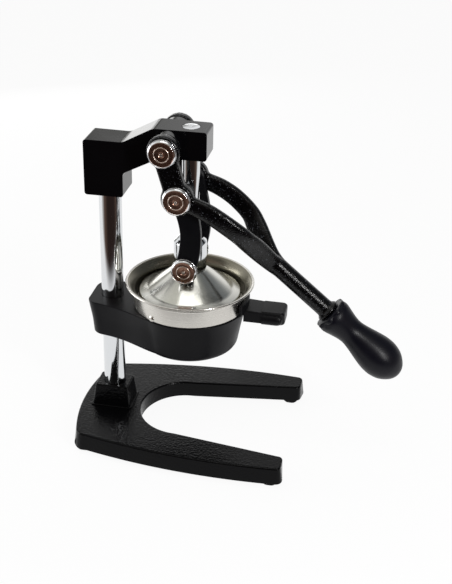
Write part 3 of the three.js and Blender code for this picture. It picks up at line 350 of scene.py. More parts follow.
@dataclass(frozen=True)
class Metal(Finish):
    """A bare or plated metal with the fine lines its making left.

    Args:
        colour: The metal's colour.
        roughness: Its middle roughness.
        spread: How far the roughness wanders either way.
        line: The lines' width.
        line_height: The lines' height.
        lay: Which way they run.
        anisotropy: How far the highlight is drawn out across the lines.
        axis: X of the axis that the lines run round, in the frame.
    """

    colour: str
    roughness: float
    spread: float
    line: float
    line_height: float
    lay: Lay = Lay.NONE
    anisotropy: float = 0.0
    axis: float = 0.0

    # The width of the gloss's clouds, how little an upright line changes along its length, and the quarter
    # turn that draws a highlight out across the lines
    CLOUD: ClassVar[float] = 22.0
    ALONG: ClassVar[float] = 0.01
    ACROSS: ClassVar[float] = 0.25

    def material(self) -> bpy.types.Material:
        """Builds the metal's material."""
        material, place = self.begin()
        tree = material.node_tree
        fine = {"Vector": self.line_place(tree, place), "Scale": pattern_scale(self.line), "Detail": 4.0}
        lines = add_node(tree, "ShaderNodeTexNoise", fine).outputs["Fac"]
        broad = {"Vector": place, "Scale": pattern_scale(self.CLOUD), "Detail": 4.0}
        cloud = add_node(tree, "ShaderNodeTexNoise", broad).outputs["Fac"]
        both = add_node(tree, "ShaderNodeMath", {0: lines, 1: cloud}, operation="ADD")
        rough = {"To Min": self.roughness - self.spread, "To Max": self.roughness + self.spread}
        gloss = add_node(tree, "ShaderNodeMapRange", {"Value": both.outputs[0], **self.TWO_NOISES, **rough})
        inputs = {"Base Color": linear(self.colour), "Metallic": 1.0, "Roughness": gloss.outputs["Result"]}
        if self.anisotropy:
            around = add_node(tree, "ShaderNodeTangent", direction_type="RADIAL", axis="Z")
            inputs["Tangent"] = around.outputs["Tangent"]
            inputs["Anisotropic"] = self.anisotropy
            inputs["Anisotropic Rotation"] = self.ACROSS
        return self.complete(material, lines, self.line_height, inputs)

    def line_place(self, tree: bpy.types.NodeTree, place: bpy.types.NodeSocket) -> bpy.types.NodeSocket:
        """Gives the coordinates in which the lines are a plain grain.

        Args:
            tree: The material's tree.
            place: The object's own coordinates.

        Returns:
            The socket of the line coordinates.
        """
        if self.lay is Lay.NONE:
            return place
        if self.lay is Lay.UPRIGHT:
            drawn = {"Vector": place, "Scale": (1, 1, self.ALONG)}
            return add_node(tree, "ShaderNodeMapping", drawn).outputs[0]
        centred = add_node(tree, "ShaderNodeMapping", {"Vector": place, "Location": (-self.axis, 0, 0)})
        split = add_node(tree, "ShaderNodeSeparateXYZ", {"Vector": centred.outputs[0]})
        flat = add_node(tree, "ShaderNodeCombineXYZ", {"X": split.outputs["X"], "Y": split.outputs["Y"]})
        radius = add_node(tree, "ShaderNodeVectorMath", {0: flat.outputs[0]}, operation="LENGTH")
        ring = add_node(tree, "ShaderNodeCombineXYZ", {"X": radius.outputs["Value"], "Z": split.outputs["Z"]})
        return ring.outputs[0]


class Palette:
    """The finishes of the press, each built once."""

    def __init__(self, bowl_axis: float) -> None:
        """Builds every finish.

        Args:
            bowl_axis: X of the bowl's axis in the frame.
        """
        finishes = {
            # Powder coat on cast aluminium, baked to a gloss: nearly black, with a faint orange peel
            Dress.GLOSS_COAT: Coat(
                "black_powder_coat", "#060608", "#0c0c0e", 0.12, 0.03, 0.4, 1.1, 0.01, specks=0.02
            ),
            # The same coat, thicker on the base: a duller gloss, and a peel drawn coarse enough to show
            Dress.BASE_COAT: Coat(
                "thick_black_powder_coat", "#050506", "#0e0e10", 0.16, 0.07, 0.1, 2.6, 0.42, specks=0.02
            ),
            # Satin coat on cast aluminium: softer reflections and a fine dry grain
            Dress.SATIN_COAT: Coat(
                "satin_black_coat", "#0c0c0f", "#1a1a1d", 0.36, 0.08, 0.1, 1.1, 0.05, specks=0.03
            ),
            # Hammer enamel on cast iron; its lumps and painted glints are drawn as coarse as they show at
            # this size
            Dress.HAMMERED_COAT: HammeredCoat(
                "hammered_black_coat", "#060608", "#020202", 0.17, 1.3, 0.17, "#4b4d53", 1.9, 0.26
            ),
            # Polished steel under decorative chrome: mirror-like, faint drawn lines
            Dress.CHROME: Metal("chrome_plate", "#dcdee0", 0.08, 0.02, 0.5, 0.001, Lay.UPRIGHT),
            # Caps and washers, turned and buffed before plating: a clean mirror without lines
            Dress.CAP: Metal("buffed_chrome_plate", "#e2e3e5", 0.09, 0.01, 6.0, 0.001),
            # Turned cap faces: a warm dark brown, painted reflection of the room they face, under a gloss
            Dress.CAP_FACE: Metal("cap_face_painted_reflection", "#a68170", 0.3, 0.08, 0.7, 0.012),
            # Plating left bare on the cap face's ring and centre: pale and soft
            Dress.CAP_RING: Metal("satin_chrome_ring", "#dccfc4", 0.35, 0.05, 1.0, 0.002),
            # Zinc-plated steel: grey, slightly blue, soft reflections
            Dress.ZINC: Metal("zinc_steel", "#a7abb0", 0.32, 0.06, 0.8, 0.01),
            # Stainless sheet, spun and brushed round its axis: warm grey with fine rings
            Dress.STAINLESS: Metal(
                "stainless_steel", "#d0cdc7", 0.27, 0.05, 0.5, 0.004, Lay.AROUND_BOWL, 0.75, bowl_axis
            ),
            # The bowl's inside, left as spun: darker, slightly yellow painted shade, with a softer gloss
            Dress.BOWL_INSIDE: Metal(
                "inside_stainless_painted_shade", "#7c786b", 0.3, 0.05, 0.7, 0.006, Lay.AROUND_BOWL, 0.4, bowl_axis
            ),
            # Spun aluminium with tool rings: the reflections are drawn out into rays from the hub
            Dress.SPUN: Metal(
                "spun_aluminium", "#d6d5ce", 0.22, 0.04, 0.7, 0.003, Lay.AROUND_BOWL, 0.8, bowl_axis
            ),
            # Polished moulding in black phenolic: a soft wide highlight with a blue cast
            Dress.GRIP: Coat("black_grip_plastic", "#080810", "#0f0f1c", 0.37, 0.03, 0.2, 0.9, 0.004),
            # Textured moulding in black polypropylene: matte with an eroded grain
            Dress.HANDLE: Coat("black_handle_plastic", "#0d0d0f", "#19191c", 0.38, 0.05, 0.13, 0.6, 0.03),
        }
        self.materials = {dress: finish.material() for dress, finish in finishes.items()}

    def __getitem__(self, dress: Dress) -> bpy.types.Material:
        """Returns the material of a finish."""
        return self.materials[dress]


class Outline:
    """An outline drawn step by step in a plane."""

    def __init__(self, start: Place) -> None:
        """Begins the outline at a point."""
        self.points = [Vector(start)]

    def line(self, end: Place) -> "Outline":
        """Draws a straight side to a point."""
        self.points.append(Vector(end))
        return self

    def curve(self, bend: Place, end: Place, steps: int = 8) -> "Outline":
        """Draws a curve that both its ends point from towards one bend.

        Args:
            bend: Where the two tangents meet.
            end: Where the curve ends.
            steps: How many sides it has.

        Returns:
            The outline.
        """
        start, bend, end = self.points[-1], Vector(bend), Vector(end)
        for i in range(1, steps + 1):
            t = i / steps
            self.points.append(start * (1 - t) ** 2 + bend * (2 * t * (1 - t)) + end * t**2)
        return self

    def arc(self, centre: Place, radii: Place, start: float, end: float, steps: int = 16) -> "Outline":
        """Draws part of an ellipse, its first point included.

        Args:
            centre: The ellipse's centre.
            radii: Its two half axes.
            start: The angle where the arc starts, in degrees.
            end: The angle where it ends.
            steps: How many sides it has.

        Returns:
            The outline.
        """
        for i in range(steps + 1):
            turn = math.radians(start + (end - start) * i / steps)
            x, y = centre[0] + radii[0] * math.cos(turn), centre[1] + radii[1] * math.sin(turn)
            self.points.append(Vector((x, y)))
        return self

    def spline(self, knots: Sequence[Place], steps: int = 6) -> "Outline":
        """Draws a smooth curve through points, from the outline's last point on.

        Args:
            knots: The points it goes through.
            steps: How many sides lie between two of them.

        Returns:
            The outline.
        """
        self.points.extend(smooth_course([self.points[-1], *knots], steps)[1:])
        return self

    def closed(self, least: float = 0.05) -> list[Vector]:
        """Returns the outline's points without repeats closer than a distance."""
        kept = [p for i, p in enumerate(self.points) if i == 0 or (p - self.points[i - 1]).length > least]
        return kept[:-1] if (kept[0] - kept[-1]).length < least else kept


def smooth_course(knots: Sequence[Place], steps: int) -> list[Vector]:
    """Runs a smooth course through points.

    Args:
        knots: The points it goes through.
        steps: How many steps lie between two of them.

    Returns:
        The points of the course, both ends included.
    """
    given = [Vector(k) for k in knots]
    around = [2 * given[0] - given[1], *given, 2 * given[-1] - given[-2]]
    course = []
    for a, b, c, d in zip(around, around[1:], around[2:], around[3:]):
        for i in range(steps):
            t = i / steps
            square, cube = 2 * a - 5 * b + 4 * c - d, 3 * b - a - 3 * c + d
            course.append(0.5 * (2 * b + (c - a) * t + square * t**2 + cube * t**3))
    return [*course, given[-1]]


def smooth_share(value: float, low: float, high: float) -> float:
    """Returns how far a value is from low to high, eased at both ends."""
    share = min(max((value - low) / (high - low), 0), 1)
    return share * share * (3 - 2 * share)


class Shape:
    """A mesh under work, in millimetres."""

    def __init__(self) -> None:
        """Begins with an empty mesh."""
        self.mesh = bmesh.new()

    def loop(self, points: Sequence[Place], closed: bool = True) -> list[bmesh.types.BMEdge]:
        """Adds a chain of edges through points.

        Args:
            points: The chain's points.
            closed: Whether its end meets its start.

        Returns:
            The edges.
        """
        verts = [self.mesh.verts.new(p) for p in points]
        pairs = zip(verts, verts[1:] + verts[:1]) if closed else zip(verts, verts[1:])
        return [self.mesh.edges.new(pair) for pair in pairs]

    def turn(self, profile: Sequence[Place], closed: bool = False, steps: int = 96) -> "Shape":
        """Turns a profile about the upright axis.

        Args:
            profile: Radius and height of each corner, and the radius that rounds it where there is one.
            closed: Whether the profile closes on itself, as a ring's does.
            steps: How many steps the full turn has.

        Returns:
            The shape.
        """
        edges = self.loop([(p[0], 0, p[1]) for p in profile], closed)
        verts = list({v for e in edges for v in e.verts})
        bmesh.ops.spin(
            self.mesh,
            geom=verts + edges,
            cent=(0, 0, 0),
            axis=(0, 0, 1),
            angle=2 * math.pi,
            steps=steps,
            use_merge=True,
        )
        bmesh.ops.remove_doubles(self.mesh, verts=self.mesh.verts[:], dist=1e-4)
        for corner in profile:
            if len(corner) > 2:
                self.round_edges(corner[2], lambda e, c=corner: all(on_ring(v.co, c) for v in e.verts))
        return self

    def prism(self, outline: Sequence[Place], start: float, end: float) -> "Shape":
        """Draws an outline out across the press, its points being X and Z.

        Args:
            outline: The outline's points.
            start: The place along Y where the prism starts.
            end: The place where it ends.

        Returns:
            The shape.
        """
        face = self.mesh.faces.new([self.mesh.verts.new((p[0], start, p[1])) for p in outline])
        grown = bmesh.ops.extrude_face_region(self.mesh, geom=[face])["geom"]
        moved = [g for g in grown if isinstance(g, bmesh.types.BMVert)]
        bmesh.ops.translate(self.mesh, verts=moved, vec=(0, end - start, 0))
        return self

    def loft(self, rings: Sequence[Sequence[Place]]) -> "Shape":
        """Bridges rings into a skin that is closed at both ends.

        Args:
            rings: The rings, each with the same number of points.

        Returns:
            The shape.
        """
        loops = [self.loop(ring) for ring in rings]
        for before, after in zip(loops, loops[1:]):
            bmesh.ops.bridge_loops(self.mesh, edges=before + after)
        for end in (loops[0], loops[-1]):
            bmesh.ops.contextual_create(self.mesh, geom=end)
        return self

    def round_edges(self, width: float, wanted: Callable, segments: int = 3) -> "Shape":
        """Rounds the edges that a test picks out.

        Args:
            width: How far the rounding reaches from the edge.
            wanted: Says of an edge whether it is rounded.
            segments: How many faces go round it.

        Returns:
            The shape.
        """
        bmesh.ops.bevel(
            self.mesh,
            geom=[e for e in self.mesh.edges if wanted(e)],
            offset=width,
            segments=segments,
            profile=0.5,
            affect="EDGES",
            clamp_overlap=True,
            material=-1,
        )
        return self

    def round_sharp(self, width: float, degrees: float = 40, segments: int = 3) -> "Shape":
        """Rounds every edge that is sharper than an angle.

        Args:
            width: How far the rounding reaches from the edge.
            degrees: The angle between the edge's two faces.
            segments: How many faces go round it.

        Returns:
            The shape.
        """
        bmesh.ops.recalc_face_normals(self.mesh, faces=self.mesh.faces[:])
        least = math.radians(degrees)
        return self.round_edges(width, lambda e: e.is_manifold and e.calc_face_angle(0) > least, segments)

    def mark(self, number: int, wanted: Callable) -> "Shape":
        """Marks the faces that a test picks out with the number of a finish of their own."""
        bmesh.ops.recalc_face_normals(self.mesh, faces=self.mesh.faces[:])
        for face in self.mesh.faces:
            if wanted(face):
                face.material_index = number
        return self

    def move(self, *steps: Matrix) -> "Shape":
        """Moves the shape by matrices, the first one first."""
        for step in steps:
            bmesh.ops.transform(self.mesh, matrix=step, verts=self.mesh.verts[:])
        return self

    def shift(self, x: float, y: float = 0, z: float = 0) -> "Shape":
        """Moves the shape along the three axes."""
        return self.move(Matrix.Translation((x, y, z)))

    def add(self, *others: "Shape") -> "Shape":
        """Takes in other shapes as they stand."""
        for other in others:
            data = bpy.data.meshes.new("passing")
            other.mesh.to_mesh(data)
            self.mesh.from_mesh(data)
            bpy.data.meshes.remove(data)
        return self

    def copy(self) -> "Shape":
        """Returns a copy of the shape."""
        return Shape().add(self)

    def flipped(self) -> "Shape":
        """Returns the shape's mirror image across the press."""
        twin = self.copy().move(Matrix.Diagonal((1, -1, 1, 1)))
        bmesh.ops.recalc_face_normals(twin.mesh, faces=twin.mesh.faces[:])
        return twin

    def loose(self) -> bpy.types.Object:
        """Returns an object that holds the shape as it stands, faces outwards."""
        bmesh.ops.recalc_face_normals(self.mesh, faces=self.mesh.faces[:])
        data = bpy.data.meshes.new("passing")
        self.mesh.to_mesh(data)
        thing = bpy.data.objects.new("passing", data)
        bpy.context.scene.collection.objects.link(thing)
        return thing

    def take_back(self, thing: bpy.types.Object) -> "Shape":
        """Takes the shape from an object with its modifiers applied, and removes the object."""
        graph = bpy.context.evaluated_depsgraph_get()
        data = bpy.data.meshes.new_from_object(thing.evaluated_get(graph))
        self.mesh.clear()
        self.mesh.from_mesh(data)
        old = thing.data
        bpy.data.objects.remove(thing)
        bpy.data.meshes.remove(old)
        bpy.data.meshes.remove(data)
        return self

    def cut(self, *tools: "Shape") -> "Shape":
        """Cuts other shapes out of this one."""
        body = self.loose()
        cutters = [tool.loose() for tool in tools]
        for cutter in cutters:
            step = body.modifiers.new("cut", "BOOLEAN")
            step.operation = "DIFFERENCE"
            step.solver = "EXACT"
            step.object = cutter
        self.take_back(body)
        for cutter in cutters:
            old = cutter.data
            bpy.data.objects.remove(cutter)
            bpy.data.meshes.remove(old)
        return self

    def fuse(self, voxel: float, softness: int) -> "Shape":
        """Casts the shape's closed bodies into one skin with soft corners.

        Args:
            voxel: The width of the skin's faces.
            softness: How many times it is smoothed.

        Returns:
            The shape.
        """
        body = self.loose()
        skin = body.modifiers.new("fuse", "REMESH")
        skin.mode = "VOXEL"
        skin.voxel_size = voxel
        soften = body.modifiers.new("soften", "SMOOTH")
        soften.factor = 0.5
        soften.iterations = softness
        return self.take_back(body)


def on_ring(point: Vector, corner: Place) -> bool:
    """Says whether a point lies on the ring that a profile's corner turns into."""
    return abs(math.hypot(point.x, point.y) - corner[0]) < 0.002 and abs(point.z - corner[1]) < 0.002


def bar(radius: float, low: float, high: float, x: float = 0, edge: float = 0, steps: int = 64) -> Shape:
    """Makes an upright round bar.

    Args:
        radius: Its radius.
        low: Its lower end.
        high: Its upper end.
        x: Its place along the press.
        edge: How far its rims are rounded.
        steps: How many sides it has.

    Returns:
        The bar.
    """
    rims = [(radius, low, edge), (radius, high, edge)] if edge else [(radius, low), (radius, high)]
    return Shape().turn([(0, low), *rims, (0, high)], steps=steps).shift(x)


def across(shape: Shape, x: float, z: float) -> Shape:
    """Lays an upright turned shape across the press, its top away from the viewer.

    Args:
        shape: The turned shape.
        x: The place of its axis along the press.
        z: The height of its axis.

    Returns:
        The shape.
    """
    return shape.move(Matrix.Rotation(-math.pi / 2, 4, "X")).shift(x, 0, z)


def rear_bore(radius: float, depth: float, start: float, height: float) -> Shape:
    """Makes the bore of a set screw that comes in from the rear.

    Args:
        radius: Its radius.
        depth: Its length.
        start: How far behind the column's axis it begins.
        height: The height of its axis.

    Returns:
        The bore.
    """
    bore = bar(radius, 0, depth, steps=32)
    return bore.move(Matrix.Rotation(-math.pi / 2, 4, "Y")).shift(-start, 0, height)


def is_upright(edge: bmesh.types.BMEdge) -> bool:
    """Says whether an edge of a drafted block joins its foot to its top."""
    return abs(edge.verts[0].co.z - edge.verts[1].co.z) > 1


class Bench:
    """Finishes shapes into pieces of the press, in the frame's place and scale."""

    def __init__(self, frame: dict) -> None:
        """Takes the frame.
        """
        self.nodes = frame["nodes"]
        low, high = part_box("column")
        self.column_x = (low.x + high.x) / 2
        low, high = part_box("press_cone")
        self.bowl_x = (low.x + high.x) / 2
        self.palette = Palette(self.bowl_x)

    def piece(
        self,
        shape: Shape,
        name: str,
        dress: Dress,
        *stands_for: str,
        crease: float = 40,
        even: bool = False,
        marked: Sequence[Dress] = (),
    ) -> bpy.types.Object:
        """Makes a shape a piece of the press.

        Args:
            shape: The shape, in millimetres from the column's axis.
            name: The piece's name.
            dress: Its finish.
            *stands_for: The nodes that it replaces, all on one body.
            crease: The angle past which two faces don't shade as one.
            even: Whether large faces decide how it shades at its rounded edges.
            marked: The finishes of the shape's marked faces, from number one on.

        Returns:
            The piece.
        """
        into_frame = Matrix.Translation((self.column_x, 0, 0)) @ Matrix.Scale(MM, 4)
        thing = shape.move(into_frame).loose()
        shape.mesh.free()
        thing.name = name
        thing.data.name = name
        thing.data.shade_smooth()
        thing.data.set_sharp_from_angle(angle=math.radians(crease))
        thing.data.materials.append(self.palette[dress])
        for other in marked:
            thing.data.materials.append(self.palette[other])
        if even:
            shading = thing.modifiers.new("even_shading", "WEIGHTED_NORMAL")
            shading.keep_sharp = True
        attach(thing, self.nodes[stands_for[0]]["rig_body"])
        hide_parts(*stands_for)
        return thing

    def pair(self, shape: Shape, name: str, dress: Dress, **looks: float | bool | Sequence[Dress]) -> None:
        """Makes two pieces, of a shape on the far side and of its mirror image on the near side.

        Args:
            shape: The far shape.
            name: The nodes' name without its side.
            dress: The finish of both.
            **looks: What else each piece takes.
        """
        twin = shape.flipped()
        self.piece(shape, f"{name}_far_form", dress, f"{name}_far", **looks)
        self.piece(twin, f"{name}_near_form", dress, f"{name}_near", **looks)

    def dress_node(self, name: str, dress: Dress) -> None:
        """Gives a node that stays its finish.

        Args:
            name: The node.
            dress: Its finish.
        """
        data = self.nodes[name].data
        data.materials.clear()
        data.materials.append(self.palette[dress])
        LOG.info("%s: kept, dressed in %s", name, dress.slot)


@dataclass
class SubAssembly:
    """What every sub-assembly has: the bench that finishes its pieces."""

    bench: Bench


@dataclass
class BaseAndColumn(SubAssembly):
    """Cast base with its boss and feet, and the chromed column.

    Rears and fronts are places along the press, halves are places across it, and corners and edges are
    roundings.
    """

    top: float = 22.9
    skirt: float = 5.5
    draft: float = 2.2
    edge: float = 1.8
    hem_edge: float = 0.7
    toe_corner: float = 6.0
    heel_corner: float = 9.0
    rear: float = -21.0
    rear_bow: float = 13.0
    rear_half: float = 73.0
    front: float = 192.5
    front_half: float = 88.4
    toe_inner_half: float = 65.3
    bulge_x: float = 85.0
    bulge: float = 95.8
    gap_x: float = 76.0
    gap_depth: float = 46.5
    gap_half: float = 49.3
    wall: float = 7.0
    ceiling: float = 15.4
    foot_radius: float = 9.5
    foot_width: float = 17.0
    foot_inset: float = 1.2
    foot_edge: float = 1.4
    # X and Y of the feet
    feet: tuple = ((181.5, 76.85), (181.5, -76.85), (-16.0, 60.0), (-16.0, -60.0))
    boss_rear: float = -21.0
    boss_front: float = 20.0
    boss_half: float = 16.5
    boss_draft: float = 3.0
    boss_height: float = 47.0
    boss_corner: float = 2.2
    boss_edge: float = 1.3
    boss_lip: float = 1.5
    lip_rise: float = 1.5
    lip_corner: float = 2.6
    lip_edge: float = 0.7
    pad_radius: float = 20.0
    pad_foot: float = 10.0
    pad_edge: float = 1.0
    column_radius: float = 11.3
    column_foot: float = 15.3
    column_top: float = 309.2
    column_edge: float = 0.8
    socket_floor: float = 15.0
    bolt_bore: float = 4.3
    bolt_bore_foot: float = 8.0
    gap: float = 0.3

    def outline(self, inset: float) -> list[Vector]:
        """Draws the base in plan.

        Args:
            inset: How far the outline is drawn in from the top's.

        Returns:
            The outline's points.
        """
        toe, heel = (self.edge, self.edge) if inset else (self.toe_corner, self.heel_corner)
        rear, rear_half = self.rear + inset, self.rear_half - inset
        front, half, inner = self.front - inset, self.front_half - inset, self.toe_inner_half + inset
        bulge = self.bulge - inset
        bow = (self.rear_half**2 + self.rear_bow**2) / (2 * self.rear_bow)
        angle = math.degrees(math.asin((rear_half - heel) / bow))
        bow_x = rear - self.rear_bow + bow
        heel_x = bow_x - bow * math.cos(math.radians(angle))
        drawn = Outline((rear + heel, -rear_half))
        drawn.curve((self.bulge_x, -bulge), (front - toe, -half), 28)
        drawn.curve((front, -half), (front, -half + toe), 6)
        drawn.line((front, -inner - toe))
        drawn.curve((front, -inner), (front - toe, -inner), 6)
        drawn.arc((self.gap_x, 0), (self.gap_depth + inset, self.gap_half + inset), -90, -270, 56)
        drawn.line((front - toe, inner))
        drawn.curve((front, inner), (front, inner + toe), 6)
        drawn.line((front, half - toe))
        drawn.curve((front, half), (front - toe, half), 6)
        drawn.curve((self.bulge_x, bulge), (rear + heel, rear_half), 28)
        drawn.curve((rear, rear_half), (heel_x, rear_half - heel), 6)
        drawn.arc((bow_x, 0), (bow, bow), 180 - angle, 180 + angle, 24)
        drawn.curve((rear, -rear_half), (rear + heel, -rear_half), 6)
        return drawn.closed(0.001)

    def ring(self, inset: float, height: float, drafted: bool) -> list[Vector]:
        """Lifts the outline to a height, splayed outwards where the sides are drafted.

        Args:
            inset: How far it is drawn in from the top's outline.
            height: The ring's height.
            drafted: Whether it lies at the skirt's foot.

        Returns:
            The ring's points.
        """
        flat = self.outline(inset)
        ring = []
        for i, point in enumerate(flat):
            along = (flat[(i + 1) % len(flat)] - flat[i - 1]).normalized()
            splay = self.draft if drafted else 0
            if point.x > self.gap_x - self.gap_depth - self.wall:
                splay *= smooth_share(abs(point.y), self.toe_inner_half, self.front_half - self.toe_corner)
            ring.append(Vector((point.x + along.y * splay, point.y - along.x * splay, height)))
        return ring

    def foot(self, x: float, y: float) -> Shape:
        """Makes a half-round foot, flat where it stands.

        Args:
            x: Its place along the press.
            y: Its place across the press.

        Returns:
            The foot.
        """
        half = self.foot_width / 2
        roller = bar(self.foot_radius, y - half, y + half, edge=self.foot_edge)
        roller = across(roller, x, self.foot_radius - self.foot_inset)
        geometry = roller.mesh.verts[:] + roller.mesh.edges[:] + roller.mesh.faces[:]
        sliced = bmesh.ops.bisect_plane(
            roller.mesh, geom=geometry, plane_co=(0, 0, 0), plane_no=(0, 0, -1), clear_outer=True
        )
        rim = [g for g in sliced["geom_cut"] if isinstance(g, bmesh.types.BMEdge)]
        bmesh.ops.contextual_create(roller.mesh, geom=rim)
        return roller

    def boss_ring(self, grow: float, height: float) -> list[Place]:
        """Draws the boss's square at a height.

        Args:
            grow: How much wider it is than the boss's foot, each way.
            height: Its height.

        Returns:
            Its corners.
        """
        rear, front, half = self.boss_rear - grow, self.boss_front + grow, self.boss_half + grow
        return [(rear, -half, height), (front, -half, height), (front, half, height), (rear, half, height)]

    def boss(self) -> tuple[Shape, Shape]:
        """Makes the drafted square boss that takes the column's foot, and the lip round its own foot."""
        foot = self.top - self.edge
        boss = Shape().loft([self.boss_ring(0, foot), self.boss_ring(-self.boss_draft, self.boss_height)])
        boss.round_edges(self.boss_corner, is_upright, 4)
        boss.round_edges(self.boss_edge, lambda e: min(v.co.z for v in e.verts) > self.boss_height - NEAR, 3)
        lip = Shape().loft([self.boss_ring(self.boss_lip, z) for z in (foot, self.top + self.lip_rise)])
        lip.round_edges(self.lip_corner, is_upright, 4)
        lip.round_sharp(self.lip_edge, 60, 3)
        return boss, lip

    def build(self) -> None:
        """Makes the base and the column."""
        base = Shape().loft(
            [
                self.ring(self.wall, self.ceiling, False),
                self.ring(self.wall, self.skirt, True),
                self.ring(0, self.skirt, True),
                self.ring(0, self.top, False),
            ]
        )
        base.round_edges(self.edge, lambda e: min(v.co.z for v in e.verts) > self.top - NEAR, 4)
        base.round_edges(self.hem_edge, self.on_hem, 2)
        socket = bar(self.column_radius + self.gap, self.socket_floor, self.boss_height + PAST, steps=96)
        bolt = bar(self.bolt_bore, self.bolt_bore_foot, self.socket_floor + 1, steps=32)
        pad = bar(self.pad_radius, self.pad_foot, self.top - self.edge, edge=self.pad_edge, steps=96)
        for island in (base, pad, *self.boss()):
            island.cut(socket, bolt)
            if island is not base:
                base.add(island)
        base.add(*(self.foot(x, y) for x, y in self.feet))
        self.bench.piece(base, "base_form", Dress.BASE_COAT, "base_casting", crease=32, even=True)
        column = bar(self.column_radius, self.column_foot, self.column_top, edge=self.column_edge, steps=128)
        self.bench.piece(column, "column_form", Dress.CHROME, "column")
        self.bench.dress_node("column_bolt", Dress.ZINC)
        self.bench.dress_node("column_bolt_washer", Dress.ZINC)

    def on_hem(self, edge: bmesh.types.BMEdge) -> bool:
        """Says whether an edge runs along the skirt's outer foot."""
        at_foot = all(abs(v.co.z - self.skirt) < NEAR for v in edge.verts)
        return at_foot and any(f.normal.z > -0.9 and f.calc_area() > 0 for f in edge.link_faces)


@dataclass
class Head(SubAssembly):
    """Cast head: clamp block on the column, sloping arm, ram guide block and pivot boss."""

    rear: float = -20.7
    block_front: float = 17.8
    front: float = 99.1
    top: float = 337.5
    rear_top: float = 321.5
    rear_bottom: float = 265.5
    front_bottom: float = 309.0
    arm_start: float = 290.2
    arm_end: tuple = (46.0, 304.6)
    step_x: float = 47.4
    rear_half: float = 17.2
    front_half: float = 15.2
    corner: float = 3.5
    edge: float = 2.0
    boss_radius: float = 15.0
    boss_half: float = 26.5
    boss_edge: float = 1.0
    pin_bore: float = 6.3
    ram_bore: float = 8.9
    column_bore: float = 11.6
    socket_top: float = 309.5
    screw_bore: float = 3.3
    screw_depth: float = 12.0
    screw_height: float = 293.5

    def build(self) -> None:
        """Makes the head and dresses its set screw."""
        corners = [
            (self.rear, self.rear_bottom),
            (self.block_front, self.rear_bottom),
            (self.block_front, self.arm_start),
            self.arm_end,
            (self.arm_end[0] + self.corner, self.front_bottom),
            (self.front, self.front_bottom),
            (self.front, self.top),
            (self.step_x, self.top),
            (self.block_front, self.rear_top),
            (self.rear, self.rear_top),
        ]
        head = Shape().prism(corners, -self.rear_half, self.rear_half)
        head.round_edges(self.corner, lambda e: abs(e.verts[0].co.y - e.verts[1].co.y) > 1, 5)
        head.round_edges(self.edge, self.on_side, 4)
        for vert in head.mesh.verts:
            share = (vert.co.x - self.rear) / (self.front - self.rear)
            vert.co.y *= 1 + share * (self.front_half / self.rear_half - 1)
        boss = bar(self.boss_radius, -self.boss_half, self.boss_half, edge=self.boss_edge, steps=96)
        pin = across(bar(self.pin_bore, -THROUGH, THROUGH), *PIVOT)
        ram = bar(self.ram_bore, self.rear_bottom, self.top + PAST, RAM_X, steps=96)
        socket = bar(self.column_bore, self.rear_bottom - PAST, self.socket_top, steps=96)
        screw = rear_bore(self.screw_bore, self.screw_depth, self.column_bore - 1, self.screw_height)
        head.cut(ram, socket, screw, pin)
        head.add(across(boss, *PIVOT).cut(pin, ram))
        self.bench.piece(head, "head_form", Dress.GLOSS_COAT, "head_casting", crease=32, even=True)
        self.bench.dress_node("head_set_screw", Dress.ZINC)

    def on_side(self, edge: bmesh.types.BMEdge) -> bool:
        """Says whether an edge runs round one of the head's two flat sides."""
        return all(abs(abs(v.co.y) - self.rear_half) < NEAR for v in edge.verts) and len(edge.link_faces) == 2


